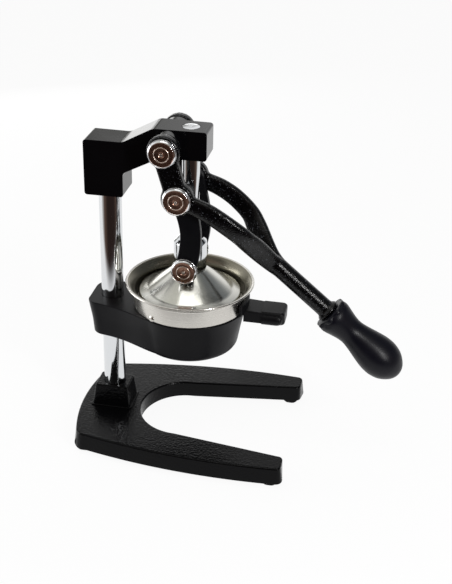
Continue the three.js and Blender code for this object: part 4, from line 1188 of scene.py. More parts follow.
@dataclass
class Holder(SubAssembly):
    """Bracket round the column and the pot that carries the bowl, in one casting."""

    rim_height: float = 151.2
    rim_radius: float = 58.0
    rim_edge: float = 1.2
    foot_height: float = 107.5
    foot_radius: float = 50.0
    corner: float = 6.5
    rear: float = 21.4
    half: float = 25.4
    rear_corner: float = 12.0
    bracket_foot: float = 112.0
    bore: float = 51.2
    bore_foot: float = 43.8
    bore_corner: float = 3.5
    bore_mouth: float = 3.0
    floor_top: float = 113.5
    drain: float = 12.0
    column_bore: float = 11.6
    screw_bore: float = 3.3
    screw_depth: float = 14.0
    # The angle round the pot, from the grip's side, at which the bracket's sides leave it
    meet: float = 123.0
    # How much slower than a cone's the wall widens on its way up
    swell: float = 0.8
    # Points of the bracket's side: shares of the way from its rear corner to the pot, along and across
    side_shares: tuple = ((0.16, 0.1), (0.34, 0.24), (0.5, 0.4), (0.66, 0.59), (0.82, 0.79))
    # Rings round the foot's bend: how far the pot and the bracket are drawn in, and how far each has risen
    bend: tuple = (
        (6.5, 7.0, 0.0, 0.0),
        (4.0, 6.0, 0.5, 0.2),
        (2.0, 5.0, 1.9, 0.6),
        (0.7, 4.4, 3.9, 1.2),
        (0.0, 4.0, 6.5, 2.0),
    )
    # Rings round the wall: how far over its middle, and how far the bracket is drawn in
    wall: tuple = ((-8.0, 3.0), (0.0, 2.0), (8.0, 0.9))

    def ring(self, pot_radius: float, draft: float, pot_height: float, bracket_height: float) -> list[Vector]:
        """Draws a ring round the bracket and the pot.

        Args:
            pot_radius: The pot's radius there.
            draft: How far the bracket is drawn in.
            pot_height: The ring's height on the pot.
            bracket_height: Its height on the bracket.

        Returns:
            The ring's points.
        """
        rear, half = self.rear - draft, self.half - draft
        start_x = -rear + self.rear_corner
        meet = math.radians(self.meet)
        meet_x, meet_y = RAM_X + pot_radius * math.cos(meet), pot_radius * math.sin(meet)
        side = [
            (start_x + (meet_x - start_x) * run, half + (meet_y - half) * spread)
            for run, spread in self.side_shares
        ]
        flat = Outline((meet_x, -meet_y))
        flat.arc((RAM_X, 0), (pot_radius, pot_radius), -self.meet, self.meet, 72)
        flat.spline([*side[::-1], (start_x, half)], 4)
        flat.arc((start_x, half - self.rear_corner), (self.rear_corner,) * 2, 90, 180, 8)
        flat.arc((start_x, self.rear_corner - half), (self.rear_corner,) * 2, 180, 270, 8)
        flat.spline([*((x, -y) for x, y in side), (meet_x, -meet_y)], 4)
        ring = []
        for point in flat.closed(0.001):
            share = smooth_share(point.x, 0, RAM_X - pot_radius / 2)
            ring.append(Vector((point.x, point.y, bracket_height + (pot_height - bracket_height) * share)))
        return ring

    def build(self) -> None:
        """Makes the holder and dresses its set screw."""
        foot, rim = self.foot_height, self.rim_height
        rings = [
            self.ring(self.foot_radius - pot_in, draft, foot + pot_up, self.bracket_foot + bracket_up)
            for pot_in, draft, pot_up, bracket_up in self.bend
        ]
        for over, draft in self.wall:
            height = (rim + foot) / 2 + self.corner + over
            rings.append(self.ring(self.wall_radius(height), draft, height, height))
        body = Shape().loft([*rings, self.ring(self.rim_radius, 0, rim, rim)])
        body.round_edges(self.rim_edge, lambda e: min(v.co.z for v in e.verts) > rim - NEAR, 3)
        cavity = Shape().turn(
            [
                (0, self.floor_top),
                (self.bore_foot, self.floor_top, self.bore_corner),
                (self.bore, rim - self.bore_mouth),
                (self.bore, rim + PAST),
                (0, rim + PAST),
            ],
            steps=128,
        )
        drain = bar(self.drain, foot - PAST, self.floor_top + 1, RAM_X)
        column = bar(self.column_bore, foot - PAST, rim + PAST)
        screw_height = (rim + self.bracket_foot) / 2
        screw = rear_bore(self.screw_bore, self.screw_depth, self.column_bore - 1, screw_height)
        body.cut(cavity.shift(RAM_X), drain, column, screw)
        self.bench.piece(body, "holder_form", Dress.SATIN_COAT, "holder_casting", crease=32, even=True)
        self.bench.dress_node("holder_set_screw", Dress.ZINC)

    def wall_radius(self, height: float) -> float:
        """Returns the pot's radius at a height."""
        share = (self.rim_height - height) / (self.rim_height - self.foot_height - self.corner)
        return self.rim_radius + (self.foot_radius - self.rim_radius) * share**self.swell


@dataclass
class Joint:
    """One pivot across the press: its cap screws and the washers behind them.

    Args:
        name: The pivot's name.
        cap: The cap screws' name.
        place: X and Z of its axis.
        radius: The caps' radius.
        thickness: The caps' thickness.
        half: How far from the middle plane the caps' rims reach.
        shank_radius: The shanks' radius.
        shank_end: How far from the middle plane the shanks end.
        washer_start: How far from the middle plane the washers start.
        washer_bore: The radius of the washers' hole.
    """

    name: str
    cap: str
    place: tuple
    radius: float
    thickness: float
    half: float
    shank_radius: float
    shank_end: float
    washer_start: float
    washer_bore: float
    washer_thickness: float = 1.2
    washer_overlap: float = 0.4
    washer_edge: float = 0.35
    washer_bore_edge: float = 0.2
    rim: float = 1.5
    rim_edge: float = 0.3
    rim_slope: float = 0.2
    shank_edge: float = 0.4
    fine_edge: float = 0.1
    sink: float = 0.45
    sink_slope: float = 0.3
    ring_share: float = 0.53
    ring_foot: float = 0.4
    ring_crest: float = 0.15
    ring_rise: float = 0.25
    groove: tuple = (2.9, 2.3, 1.7)
    groove_depth: float = 0.5
    groove_edge: float = 0.15
    nub: float = 1.4
    nub_rise: float = 0.35
    nub_crown: float = 0.05
    nub_edge: float = 0.3

    def face(self) -> list[Place]:
        """Draws the cap's sunk face: a raised ring, and a groove round a nub in the middle.

        Returns:
            Radius, place and rounding of each corner, from the rim inwards.
        """
        face, inner, ring = self.half - self.sink, self.radius - self.rim, self.radius * self.ring_share
        outer, floor, bottom = self.groove
        raised = [
            (inner, self.half),
            (inner - self.sink_slope, face),
            (ring + self.ring_foot, face),
            (ring + self.ring_crest, face + self.ring_rise),
            (ring - self.ring_crest, face + self.ring_rise),
            (ring - self.ring_foot, face),
        ]
        sunk = [(outer, face), (floor, face - self.groove_depth), (bottom, face - self.groove_depth)]
        return [
            *((*corner, self.fine_edge) for corner in raised),
            *((*corner, self.groove_edge) for corner in sunk),
            (self.nub, face + self.nub_rise, self.nub_edge),
            (0, face + self.nub_rise + self.nub_crown),
        ]

    def build(self, bench: Bench) -> None:
        """Makes both caps and both washers.

        Args:
            bench: The bench that finishes them.
        """
        seat, face, inner = self.half - self.thickness, self.half - self.sink, self.radius - self.rim
        profile = [
            (0, self.shank_end),
            (self.shank_radius, self.shank_end, self.shank_edge),
            (self.shank_radius, seat),
            (self.radius, seat, self.rim_edge),
            (self.radius, self.half - self.rim + self.rim_slope, self.rim_edge),
            (inner + self.rim_slope, self.half, self.rim_slope),
            *self.face(),
        ]
        turned = Shape().turn(profile)
        low, bound = face - self.groove_depth - self.fine_edge, inner - self.rim_slope
        turned.mark(1, lambda f: all(v.co.z > low and v.co.xy.length < bound for v in f.verts))
        turned.mark(2, lambda f: f.material_index == 1 and f.calc_center_median().z > face + self.fine_edge)
        # The sunk face takes the brown of a painted reflection; its ring and centre stay pale
        marked = (Dress.CAP_FACE, Dress.CAP_RING)
        bench.pair(across(turned, *self.place), self.cap, Dress.CAP, crease=50, marked=marked)
        bore, outer, start = self.washer_bore, self.radius + self.washer_overlap, self.washer_start
        end = start + self.washer_thickness
        rims = [(outer, start, self.washer_edge), (outer, end, self.washer_edge)]
        washer = Shape().turn([(bore, start), *rims, (bore, end, self.washer_bore_edge)], closed=True)
        bench.pair(across(washer, *self.place), f"{self.name}_washer", Dress.CAP, crease=50)


@dataclass
class Pivots(SubAssembly):
    """The three pivots: head, crank and wrist."""

    joints: tuple = (
        Joint("pivot", "pivot_cap", PIVOT, 13.5, 3, 42.8, 3.2, 29.3, 38.3, 6.3),
        Joint("crank", "crank_screw", CRANK, 13.5, 3, 42.8, 5, 26.9, 38.3, 5.3),
        Joint("wrist", "wrist_screw", WRIST, 12.6, 3.9, 32.3, 5, 10.7, 26.9, 5.3),
    )

    def build(self) -> None:
        """Makes the caps and washers and dresses the pin."""
        for joint in self.joints:
            joint.build(self.bench)
        self.bench.dress_node("pivot_pin", Dress.ZINC)


@dataclass
class Lever(SubAssembly):
    """Cast fork with its two cheeks, two arms and rod, and the moulded grip."""

    inner_half: float = 27.0
    outer_half: float = 38.0
    eye_radius: float = 16.2
    limb_half: float = 11.0
    edge: float = 2.2
    arm_half: float = 33.2
    arm_width: float = 10.8
    arm_depth: float = 19.0
    arm_sides: int = 28
    # The power that squares the arm's oval section, where 1 leaves it an ellipse
    arm_squareness: float = 0.7
    rod_start: tuple = (168.0, 202.4)
    rod_angle: float = 39.8
    rod_radius: float = 9.3
    rod_length: float = 71.0
    nose_edge: float = 1.0
    # Where the rod's blunt nose bends: shares of its radius, out and back
    nose_shares: tuple = (0.8, 0.7)
    collar_radius: float = 12.4
    collar_length: float = 4.0
    collar_slope: float = 1.0
    collar_edge: float = 0.8
    # How deep the collar's end is bevelled, along the rod and across it
    collar_bevel: tuple = (0.9, 1.2)
    grip_gap: float = 0.3
    grip_length: float = 96.0
    flange_radius: float = 17.6
    flange_lobe: float = 0.9
    flange_length: float = 5.5
    lobes: int = 8
    neck_radius: float = 13.8
    neck_flare: float = 3.4
    face_radius: float = 15.8
    face_depth: float = 0.4
    bulb_radius: float = 20.5
    crank_bore: float = 5.3
    pivot_bore: float = 6.3
    stud_bore: float = 5.3
    stud_depth: float = 18.0
    voxel: float = 1.0
    softness: int = 14
    # The arm's course from the crank's eye to the rod's start: shares of the way along, of the arms' place
    # across, of the drop and of the arm's depth
    course: tuple = (
        (-0.04, 0.98, -0.02, 0.86),
        (0.156, 0.985, 0.075, 0.9),
        (0.318, 1, 0.156, 0.97),
        (0.48, 0.985, 0.281, 1),
        (0.64, 0.86, 0.445, 1.02),
        (0.72, 0.67, 0.57, 1.1),
        (0.784, 0.455, 0.685, 1.16),
        (0.85, 0.28, 0.8, 1.12),
        (0.93, 0.13, 0.922, 1.03),
        (1.02, 0.04, 1.025, 0.96),
        (1.12, 0, 1.125, 0.86),
    )
    # The grip's outline: shares of its length and of the bulb's radius
    grip_shares: tuple = (
        (0.08, 0.88),
        (0.17, 0.785),
        (0.25, 0.7),
        (0.325, 0.67),
        (0.417, 0.74),
        (0.509, 0.844),
        (0.59, 0.93),
        (0.662, 0.985),
        (0.75, 0.99),
        (0.836, 0.9),
        (0.9, 0.742),
        (0.958, 0.51),
        (0.99, 0.26),
        (1.0, 0.0),
    )
    # The flange's edge: how far from the grip's start, and how far the rim is drawn in there
    flange_edge: tuple = ((0.0, 1.6), (0.5, 0.5), (1.4, 0.0), (3.9, 0.0), (4.9, 0.5), (5.5, 1.8))

    def along_rod(self, shape: Shape) -> Shape:
        """Lays an upright turned shape along the rod, its zero where the rod begins."""
        lean = Matrix.Rotation(math.pi / 2 + math.radians(self.rod_angle), 4, "Y")
        return shape.move(lean).shift(self.rod_start[0], 0, self.rod_start[1])

    def arm(self) -> Shape:
        """Sweeps the far arm from the crank's eye to the rod."""
        reach, drop = self.rod_start[0] - CRANK[0], CRANK[1] - self.rod_start[1]
        knots = [
            (CRANK[0] + along * reach, out * self.arm_half, CRANK[1] - down * drop, depth)
            for along, out, down, depth in self.course
        ]
        stations = smooth_course(knots, 5)
        rings = []
        for i, station in enumerate(stations):
            before, after = stations[max(i - 1, 0)], stations[min(i + 1, len(stations) - 1)]
            along = (after.to_3d() - before.to_3d()).normalized()
            side = (Vector((0, 1, 0)) - along * along.y).normalized()
            up = side.cross(along)
            half_width, half_depth = self.arm_width / 2, self.arm_depth * station.w / 2
            ring = []
            for k in range(self.arm_sides):
                turn = 2 * math.pi * k / self.arm_sides
                a, b = (
                    math.copysign(abs(place) ** self.arm_squareness, place)
                    for place in (math.cos(turn), math.sin(turn))
                )
                ring.append(station.to_3d() + side * (a * half_width) + up * (b * half_depth))
            rings.append(ring)
        return Shape().loft(rings)

    def cheek(self) -> Shape:
        """Makes the far cheek: a limb with an eye at each end."""
        pivot, crank = Vector(PIVOT), Vector(CRANK)
        along = (crank - pivot).normalized()
        side = Vector((-along.y, along.x)) * self.limb_half
        corners = [pivot + side, pivot - side, crank - side, crank + side]
        limb = Shape().prism(corners, self.inner_half, self.outer_half)
        limb.round_sharp(self.edge)
        eyes = [
            across(bar(self.eye_radius, self.inner_half, self.outer_half, edge=self.edge), *place)
            for place in (PIVOT, CRANK)
        ]
        return limb.add(*eyes)

    def grip(self) -> Shape:
        """Makes the grip: a bulb with a waist, and a scalloped flange at its start."""
        start = self.rod_length + self.grip_gap
        knots = [
            (self.neck_radius + self.neck_flare, start + self.flange_length / 2),
            *((out * self.bulb_radius, start + along * self.grip_length) for along, out in self.grip_shares),
        ]
        face = start + self.face_depth
        curve = ((max(p.x, 0), p.y) for p in smooth_course(knots, 4))
        body = Shape().turn([(0, face), (self.face_radius, face), *curve])
        rings = []
        sides = 12 * self.lobes
        for height, shrink in self.flange_edge:
            ring = []
            for k in range(sides):
                turn = 2 * math.pi * k / sides
                radius = self.flange_radius + self.flange_lobe * math.cos(self.lobes * turn) - shrink
                ring.append((radius * math.cos(turn), radius * math.sin(turn), start + height))
            rings.append(ring)
        return body.add(Shape().loft(rings))

    def build(self) -> None:
        """Makes the fork and the grip and dresses the stud."""
        far = self.arm().add(self.cheek())
        end, collar = self.rod_length, self.rod_length - self.collar_length
        out, back = (share * self.rod_radius for share in self.nose_shares)
        bevel_along, bevel_across = self.collar_bevel
        rod = Shape().turn(
            [
                (0, -self.rod_radius),
                (out, -back, self.nose_edge),
                (self.rod_radius, 0),
                (self.rod_radius, collar - self.collar_slope),
                (self.collar_radius, collar + self.collar_slope, self.collar_edge),
                (self.collar_radius, end - bevel_along, self.collar_edge),
                (self.collar_radius - bevel_across, end),
                (0, end),
            ]
        )
        fork = far.flipped().add(far, self.along_rod(rod)).fuse(self.voxel, self.softness)
        crank = across(bar(self.crank_bore, -THROUGH, THROUGH), *CRANK)
        pivot = across(bar(self.pivot_bore, -THROUGH, THROUGH), *PIVOT)
        stud = self.along_rod(bar(self.stud_bore, end - self.stud_depth, end + PAST, steps=48))
        fork.cut(crank, pivot, stud)
        self.bench.piece(fork, "fork_form", Dress.HAMMERED_COAT, "lever_fork", crease=60)
        grip = self.along_rod(self.grip())
        self.bench.piece(grip, "grip_form", Dress.GRIP, "lever_grip", crease=50)
        self.bench.dress_node("grip_stud", Dress.ZINC)


@dataclass
class Links(SubAssembly):
    """Two curved toggle links between the crank and the wrist."""

    crank_eye: float = 13.8
    wrist_eye: float = 10.6
    half_width: float = 10.2
    bulge: float = 8.1
    edge: float = 1.2
    inner_half: float = 19.0
    outer_half: float = 26.6
    bore: float = 5.3
    # Where between the two eyes the points of the long edges lie
    shares: tuple = (0.14, 0.3, 0.5, 0.7, 0.86)

    def side(self, length: float, sign: int) -> list[Place]:
        """Draws one long edge of the link.

        Args:
            length: The distance between its eyes.
            sign: Which edge it is.

        Returns:
            The edge's points, from the crank's eye on.
        """
        points = []
        for share in self.shares:
            middle = math.sin(math.pi * share)
            eye = self.crank_eye + (self.wrist_eye - self.crank_eye) * share
            width = eye + (self.half_width - eye) * middle
            points.append((share * length, self.bulge * middle + sign * width))
        return points

    def build(self) -> None:
        """Makes both links."""
        run = Vector(WRIST) - Vector(CRANK)
        drawn = Outline((0, self.crank_eye))
        drawn.spline([*self.side(run.length, 1), (run.length, self.wrist_eye)], 8)
        drawn.arc((run.length, 0), (self.wrist_eye,) * 2, 90, -90, 24)
        drawn.spline([*self.side(run.length, -1)[::-1], (0, -self.crank_eye)], 8)
        drawn.arc((0, 0), (self.crank_eye,) * 2, -90, -270, 24)
        link = Shape().prism(drawn.closed(), self.inner_half, self.outer_half)
        link.round_sharp(self.edge, 60, 4)
        link.move(Matrix.Rotation(-math.atan2(run.y, run.x), 4, "Y")).shift(CRANK[0], 0, CRANK[1])
        low, high = self.inner_half - PAST, self.outer_half + PAST
        bores = [across(bar(self.bore, low, high, steps=48), *place) for place in (CRANK, WRIST)]
        self.bench.pair(link.cut(*bores), "link", Dress.SATIN_COAT, crease=32, even=True)


@dataclass
class Ram(SubAssembly):
    """Ram rod, crosshead with its trunnions, and the spun press cone."""

    rod_radius: float = 8.6
    rod_gap: float = 0.3
    rod_edge: float = 0.8
    centre_radius: float = 1.6
    centre_depth: float = 0.9
    centre_edge: float = 0.1
    seat: float = 203.3
    seat_edge: float = 0.4
    top: float = 337.5
    hub_radius: float = 16.4
    hub_foot: float = 190.6
    hub_top: float = 224.0
    hub_crown: float = 11.2
    hub_slope: float = 4.0
    hub_edge: float = 0.6
    hub_shoulder_edge: float = 0.9
    trunnion_radius: float = 8.0
    trunnion_half: float = 18.7
    trunnion_edge: float = 0.5
    wrist_bore: float = 5.3
    wrist_depth: float = 12.0
    wrist_start: float = 10.4
    cone_top: float = 190.3
    cone_hub: float = 16.2
    cone_hub_edge: float = 1.2
    cone_base: float = 43.0
    cone_base_height: float = 168.5
    cone_base_edge: float = 1.8
    flange_radius: float = 51.6
    flange_height: float = 165.4
    # Corners round the flange's lip: how far in from its rim, how far under its top, and the rounding
    flange_lip: tuple = ((0.9, -0.9, 0.5), (0, 0.4, 0.5), (0, 2.1, 0.4), (1.3, 2.1, 0.3), (1.8, 0.6, 0.4))
    wall: float = 1.8
    # How far in from the outer corner the inner one lies, and its rounding, at the hub and at the base
    hub_inside: tuple = (0.8, 1.0)
    base_inside: tuple = (0.6, 2.0)
    hole: float = 4.3

    def build(self) -> None:
        """Makes the rod, the crosshead and the cone and dresses the hidden screw."""
        rod = Shape().turn(
            [
                (0, self.seat),
                (self.rod_radius, self.seat, self.seat_edge),
                (self.rod_radius, self.top, self.rod_edge),
                (self.centre_radius, self.top, self.centre_edge),
                (0, self.top - self.centre_depth),
            ],
            steps=96,
        )
        self.bench.piece(rod.shift(RAM_X), "ram_rod_form", Dress.CHROME, "ram_rod")
        radius, edge, slope = self.hub_radius, self.hub_edge, self.hub_slope
        hub = Shape().turn(
            [
                (0, self.hub_foot),
                (radius, self.hub_foot, edge),
                (radius, self.hub_top - slope, self.hub_shoulder_edge),
                (radius - 0.8 * slope, self.hub_top - 0.2 * slope, edge),
                (self.hub_crown, self.hub_top, edge),
                (0, self.hub_top),
            ],
            steps=96,
        )
        half, wrist = self.trunnion_half, WRIST[1]
        trunnion = across(bar(self.trunnion_radius, -half, half, edge=self.trunnion_edge), 0, wrist)
        bores = [
            bar(self.rod_radius + self.rod_gap, self.seat - self.rod_gap, self.hub_top + PAST, steps=96),
            bar(self.hole, self.hub_foot - PAST, self.seat + 1, steps=32),
        ]
        for low in (self.wrist_start, -self.wrist_start - self.wrist_depth):
            bores.append(across(bar(self.wrist_bore, low, low + self.wrist_depth), 0, wrist))
        hub.cut(*bores).add(trunnion.cut(*bores))
        self.bench.piece(hub.shift(RAM_X), "crosshead_form", Dress.CHROME, "ram_crosshead", crease=50)
        top, inside = self.cone_top, self.cone_top - self.wall
        base, base_height = self.cone_base, self.cone_base_height
        hub_in, hub_soft = self.hub_inside
        base_in, base_soft = self.base_inside
        cone = Shape().turn(
            [
                (self.hole, top),
                (self.cone_hub, top, self.cone_hub_edge),
                (base, base_height, self.cone_base_edge),
                *((self.flange_radius - x, self.flange_height - z, soft) for x, z, soft in self.flange_lip),
                (base - base_in, base_height - self.wall, base_soft),
                (self.cone_hub - hub_in, inside, hub_soft),
                (self.hole, inside),
            ],
            closed=True,
            steps=128,
        )
        self.bench.piece(cone.shift(RAM_X), "press_cone_form", Dress.SPUN, "press_cone", crease=50)
        self.bench.dress_node("cone_washer", Dress.ZINC)
        self.bench.dress_node("cone_screw", Dress.ZINC)


@dataclass
class Bowl(SubAssembly):
    """Stainless bowl with its rolled lip and pip, the strainer, the strap and the moulded handle."""

    shoulder: float = 151.5
    band_radius: float = 56.8
    band_top: float = 169.4
    lip_radius: float = 65.0
    lip_height: float = 176.4
    body_radius: float = 50.5
    foot_radius: float = 42.6
    foot_height: float = 119.0
    foot_bend: float = 3.6
    foot_edge: float = 2.0
    foot_outer_edge: float = 2.5
    waist_drop: float = 4.8
    waist_edge: float = 1.5
    # How far under its top the band's straight ends, and the rounding there: outside, then inside
    band_ends: tuple = ((0.6, 1.0), (1.0, 1.2))
    # Roundings at the shoulder: outside its corner and the band's foot, inside the foot and the corner
    shoulder_edges: tuple = (0.3, 0.7, 0.5, 0.4)
    bead_width: float = 2.6
    # Points of the flare, outside and inside: shares of its reach and of its rise, and the rounding
    flare_outside: tuple = ((0.3, 0.38, 0.9), (0.66, 0.68, 0.6))
    flare_inside: tuple = ((0.44, 0.76, 0.7), (0.14, 0.36, 1.0))
    # Points round the lip's bead: how far in from its rim, how far under its top, and the rounding
    bead: tuple = (
        (0.5, 2.0, 0.3),
        (0.0, 1.3, 0.4),
        (0.3, 0.3, 0.4),
        (1.2, 0.0, 0.4),
        (2.0, 0.7, 0.3),
        (2.9, 0.4, 0.3),
    )
    drain_radius: float = 8.6
    drain_foot: float = 100.0
    drain_edge: float = 1.0
    dish: float = 113.2
    wall: float = 1.2
    pip_angle: float = 241.0
    pip_height: float = 154.1
    pip_radius: float = 3.2
    strainer_top: float = 176.8
    strainer_flange: float = 54.8
    strainer_base: float = 44.0
    strainer_shoulder: float = 16.0
    strainer_seat: float = 153.0
    strainer_ledge: float = 49.4
    strainer_crown: float = 8.0
    rows: int = 10
    columns: int = 64
    hole_inset: float = 0.45
    hole_corner: float = 0.5
    handle_top: float = 153.2
    handle_thickness: float = 10.4
    handle_half: float = 13.8
    neck_start: float = 59.3
    grip_start: float = 75.4
    handle_end: float = 99.0
    grip_extra: float = 2.2
    grip_edge: float = 3.0
    # The shares of its width that the grip loses between its rolls: at its top, and more below
    grip_narrow: float = 0.12
    grip_taper: float = 0.2
    handle_corner: float = 5.0
    heel_half: float = 21.0
    heel_inner: float = 57.4
    heel_depth: float = 3.4
    heel_foot: float = 151.6
    heel_top: float = 163.4
    heel_edge: float = 1.2
    neck_top: float = 154.2
    neck_edge: float = 1.4
    neck_overlap: float = 3.0
    saddle_top: float = 155.6
    saddle_depth: float = 5.0
    roll_radius: float = 6.4
    roll_drop: float = 6.2
    roll_start: float = 0.3
    roll_end: float = 1.6
    roll_edge: float = 0.6
    # Points of the roll's nose: shares of its radius, out and back from its end, and the rounding
    roll_nose: tuple = ((1.0, 0.8, 2.0), (0.75, 0.2, 1.5))

    def bowl(self) -> Shape:
        """Turns the bowl, its lip rolled to a bead, and sets the pressed pip on its band."""
        flare, rise = self.lip_radius - self.band_radius, self.lip_height - self.band_top
        outside, inside = (
            [(self.band_radius + x * flare, self.band_top + z * rise, soft) for x, z, soft in points]
            for points in (self.flare_outside, self.flare_inside)
        )
        wall, bend = self.wall, self.foot_bend
        waist = self.shoulder - self.waist_drop
        (outer_end, outer_edge), (inner_end, inner_edge) = self.band_ends
        corner, foot, inner_foot, inner_corner = self.shoulder_edges
        profile = [
            (self.drain_radius, self.drain_foot),
            (self.drain_radius, self.dish, self.foot_edge),
            (self.foot_radius - bend, self.foot_height - wall, self.foot_edge),
            (self.foot_radius, self.foot_height + bend, self.foot_outer_edge),
            (self.body_radius, waist, self.waist_edge),
            (self.body_radius, self.shoulder, corner),
            (self.band_radius, self.shoulder, foot),
            (self.band_radius, self.band_top - outer_end, outer_edge),
            *outside,
            *((self.lip_radius - x, self.lip_height - z, soft) for x, z, soft in self.bead),
            *inside,
            (self.band_radius - wall, self.band_top - inner_end, inner_edge),
            (self.band_radius - wall, self.shoulder + wall, inner_foot),
            (self.body_radius - wall, self.shoulder + wall, inner_corner),
            (self.body_radius - wall, waist, self.waist_edge),
            (self.foot_radius - wall, self.foot_height + bend + wall, self.foot_outer_edge),
            (self.foot_radius - bend - wall, self.foot_height, self.foot_edge),
            (self.drain_radius - wall, self.dish + wall, self.drain_edge),
            (self.drain_radius - wall, self.drain_foot),
        ]
        bowl = Shape().turn(profile, closed=True, steps=144)
        radius = self.pip_radius
        bump = [(0, -1), (radius + 0.5, -1), (radius + 0.3, 0.1, 0.3), (radius / 2, 1.3, 0.6), (0, 1.4)]
        pip = Shape().turn(bump, steps=48)
        pip.move(
            Matrix.Rotation(math.pi / 2, 4, "Y"),
            Matrix.Translation((self.band_radius, 0, self.pip_height)),
            Matrix.Rotation(math.radians(self.pip_angle), 4, "Z"),
        )
        return bowl.add(pip)

    def inside(self, face: bmesh.types.BMFace) -> bool:
        """Says of a face of the bowl whether it is one of the inner ones, under the lip's bead."""
        centre = face.calc_center_median()
        away = centre.xy.length
        if centre.z > self.band_top - 2:
            return away < self.lip_radius - self.bead_width and face.normal.z > 0.1
        return away < self.band_radius - 0.7 and (face.normal.xy.dot(centre.xy) < 0 or face.normal.z > 0.5)

    def strainer(self) -> Shape:
        """Turns the strainer's dome, opens rows of holes in it and gives it its thickness."""
        top, seat = self.strainer_top - self.wall / 2, self.strainer_seat + self.wall / 2
        high, low = Vector((self.strainer_shoulder, top - 0.9)), Vector((self.strainer_base, seat))
        slope = [high.lerp(low, i / self.rows) for i in range(self.rows + 1)]
        crown = [(0, top), (self.strainer_crown, top - 0.25)]
        rim = [(self.strainer_ledge, seat), (self.strainer_flange, seat)]
        shape = Shape().turn([*crown, *slope, *rim], steps=self.columns)
        opened = []
        for face in shape.mesh.faces:
            centre = face.calc_center_median()
            away = (centre.xy.length - high.x) / (low.x - high.x)
            row = round(away * self.rows - 0.5)
            column = round(math.atan2(centre.y, centre.x) / (2 * math.pi) * self.columns - 0.5)
            if 1 <= row < self.rows - 1 and (row + column) % 2 == 0:
                opened.append(face)
        bmesh.ops.inset_individual(shape.mesh, faces=opened, thickness=self.hole_inset)
        corners = list({v for f in opened for v in f.verts})
        bmesh.ops.delete(shape.mesh, geom=opened, context="FACES_ONLY")
        bmesh.ops.bevel(
            shape.mesh,
            geom=corners,
            offset=self.hole_corner,
            segments=1,
            profile=0.5,
            affect="VERTICES",
            material=-1,
        )
        bmesh.ops.recalc_face_normals(shape.mesh, faces=shape.mesh.faces[:])
        bmesh.ops.solidify(shape.mesh, geom=shape.mesh.faces[:], thickness=self.wall)
        return shape

    def grip(self) -> Shape:
        """Makes the flat middle of the handle's grip, which tapers downwards between the two rolls."""
        low = self.handle_top - self.handle_thickness - self.grip_extra
        high = self.handle_top + self.grip_extra
        start, end, half = self.grip_start, self.handle_end, self.handle_half + self.grip_extra
        corners = [(start, -half), (end, -half), (end, half), (start, half)]
        slab = Shape().loft([[(x, y, z) for x, y in corners] for z in (low, high)])
        slab.round_edges(self.handle_corner, lambda e: is_upright(e) and e.verts[0].co.x > start + 1, 6)
        bmesh.ops.recalc_face_normals(slab.mesh, faces=slab.mesh.faces[:])
        slab.round_edges(
            self.grip_edge, lambda e: e.calc_face_angle(0) > 1 and max(v.co.x for v in e.verts) > start + 1, 4
        )
        for vert in slab.mesh.verts:
            share = smooth_share(self.handle_top - vert.co.z, 0.2, self.grip_extra)
            vert.co.y *= 1 - self.grip_narrow - self.grip_taper * share
        return slab

    def neck(self) -> Shape:
        """Makes the handle's neck: hollowed round the pot, its top falling slightly towards the grip."""
        low, end = self.handle_top - self.handle_thickness, self.grip_start + self.neck_overlap
        rear = self.neck_start - self.saddle_depth
        drawn = Outline((end, self.neck_top)).line((end, low)).line((rear, low)).line((rear, self.saddle_top))
        slab = Shape().prism(drawn.closed(), -self.handle_half, self.handle_half)
        slab.round_edges(self.neck_edge, self.on_neck_side, 3)
        return slab.cut(bar(self.neck_start, low - PAST, self.saddle_top + PAST, steps=192))

    def on_neck_side(self, edge: bmesh.types.BMEdge) -> bool:
        """Says whether an edge runs along the top of the neck's near or far side."""
        at_side = all(abs(abs(v.co.y) - self.handle_half) < NEAR for v in edge.verts)
        return at_side and min(v.co.z for v in edge.verts) > self.handle_top - 1

    def heel(self) -> Shape:
        """Makes the upright heel that hugs the bowl's band."""
        inner, outer = self.heel_inner, self.heel_inner + self.heel_depth
        angle = math.degrees(math.asin(self.heel_half / (inner + self.heel_depth / 2)))
        start = math.radians(-angle)
        drawn = Outline((inner * math.cos(start), inner * math.sin(start)))
        drawn.arc((0, 0), (outer, outer), -angle, angle, 32)
        drawn.arc((0, 0), (inner, inner), angle, -angle, 32)
        flat = drawn.closed()
        heel = Shape().loft([[(p.x, p.y, z) for p in flat] for z in (self.heel_foot, self.heel_top)])
        return heel.round_sharp(self.heel_edge, 60, 3)

    def roll(self) -> Shape:
        """Makes the rounded roll along one side of the handle's grip."""
        low, high = self.grip_start + self.roll_start, self.handle_end - self.roll_end
        radius = self.roll_radius
        nose = [(radius * out, high - radius * back, soft) for out, back, soft in self.roll_nose]
        rod = Shape().turn([(0, low), (radius, low, self.roll_edge), *nose, (0, high)], steps=48)
        out = self.handle_half + self.grip_extra - radius
        return rod.move(Matrix.Rotation(math.pi / 2, 4, "Y")).shift(0, out, self.handle_top - self.roll_drop)

    def build(self) -> None:
        """Makes the bowl, the strainer and the handle and dresses the strap and its screw."""
        # The inner faces take the darker finish, painted shade within the bowl
        bowl = self.bowl().mark(1, self.inside).shift(RAM_X)
        marked = (Dress.BOWL_INSIDE,)
        self.bench.piece(bowl, "bowl_form", Dress.STAINLESS, "juice_bowl", crease=50, marked=marked)
        strainer = self.strainer().shift(RAM_X)
        self.bench.piece(strainer, "strainer_form", Dress.STAINLESS, "strainer_cone")
        roll = self.roll()
        handle = self.heel().add(self.neck(), self.grip(), roll, roll.flipped()).shift(RAM_X)
        self.bench.piece(handle, "handle_form", Dress.HANDLE, "bowl_handle", even=True)
        self.bench.dress_node("handle_strap", Dress.STAINLESS)
        self.bench.dress_node("handle_screw", Dress.ZINC)


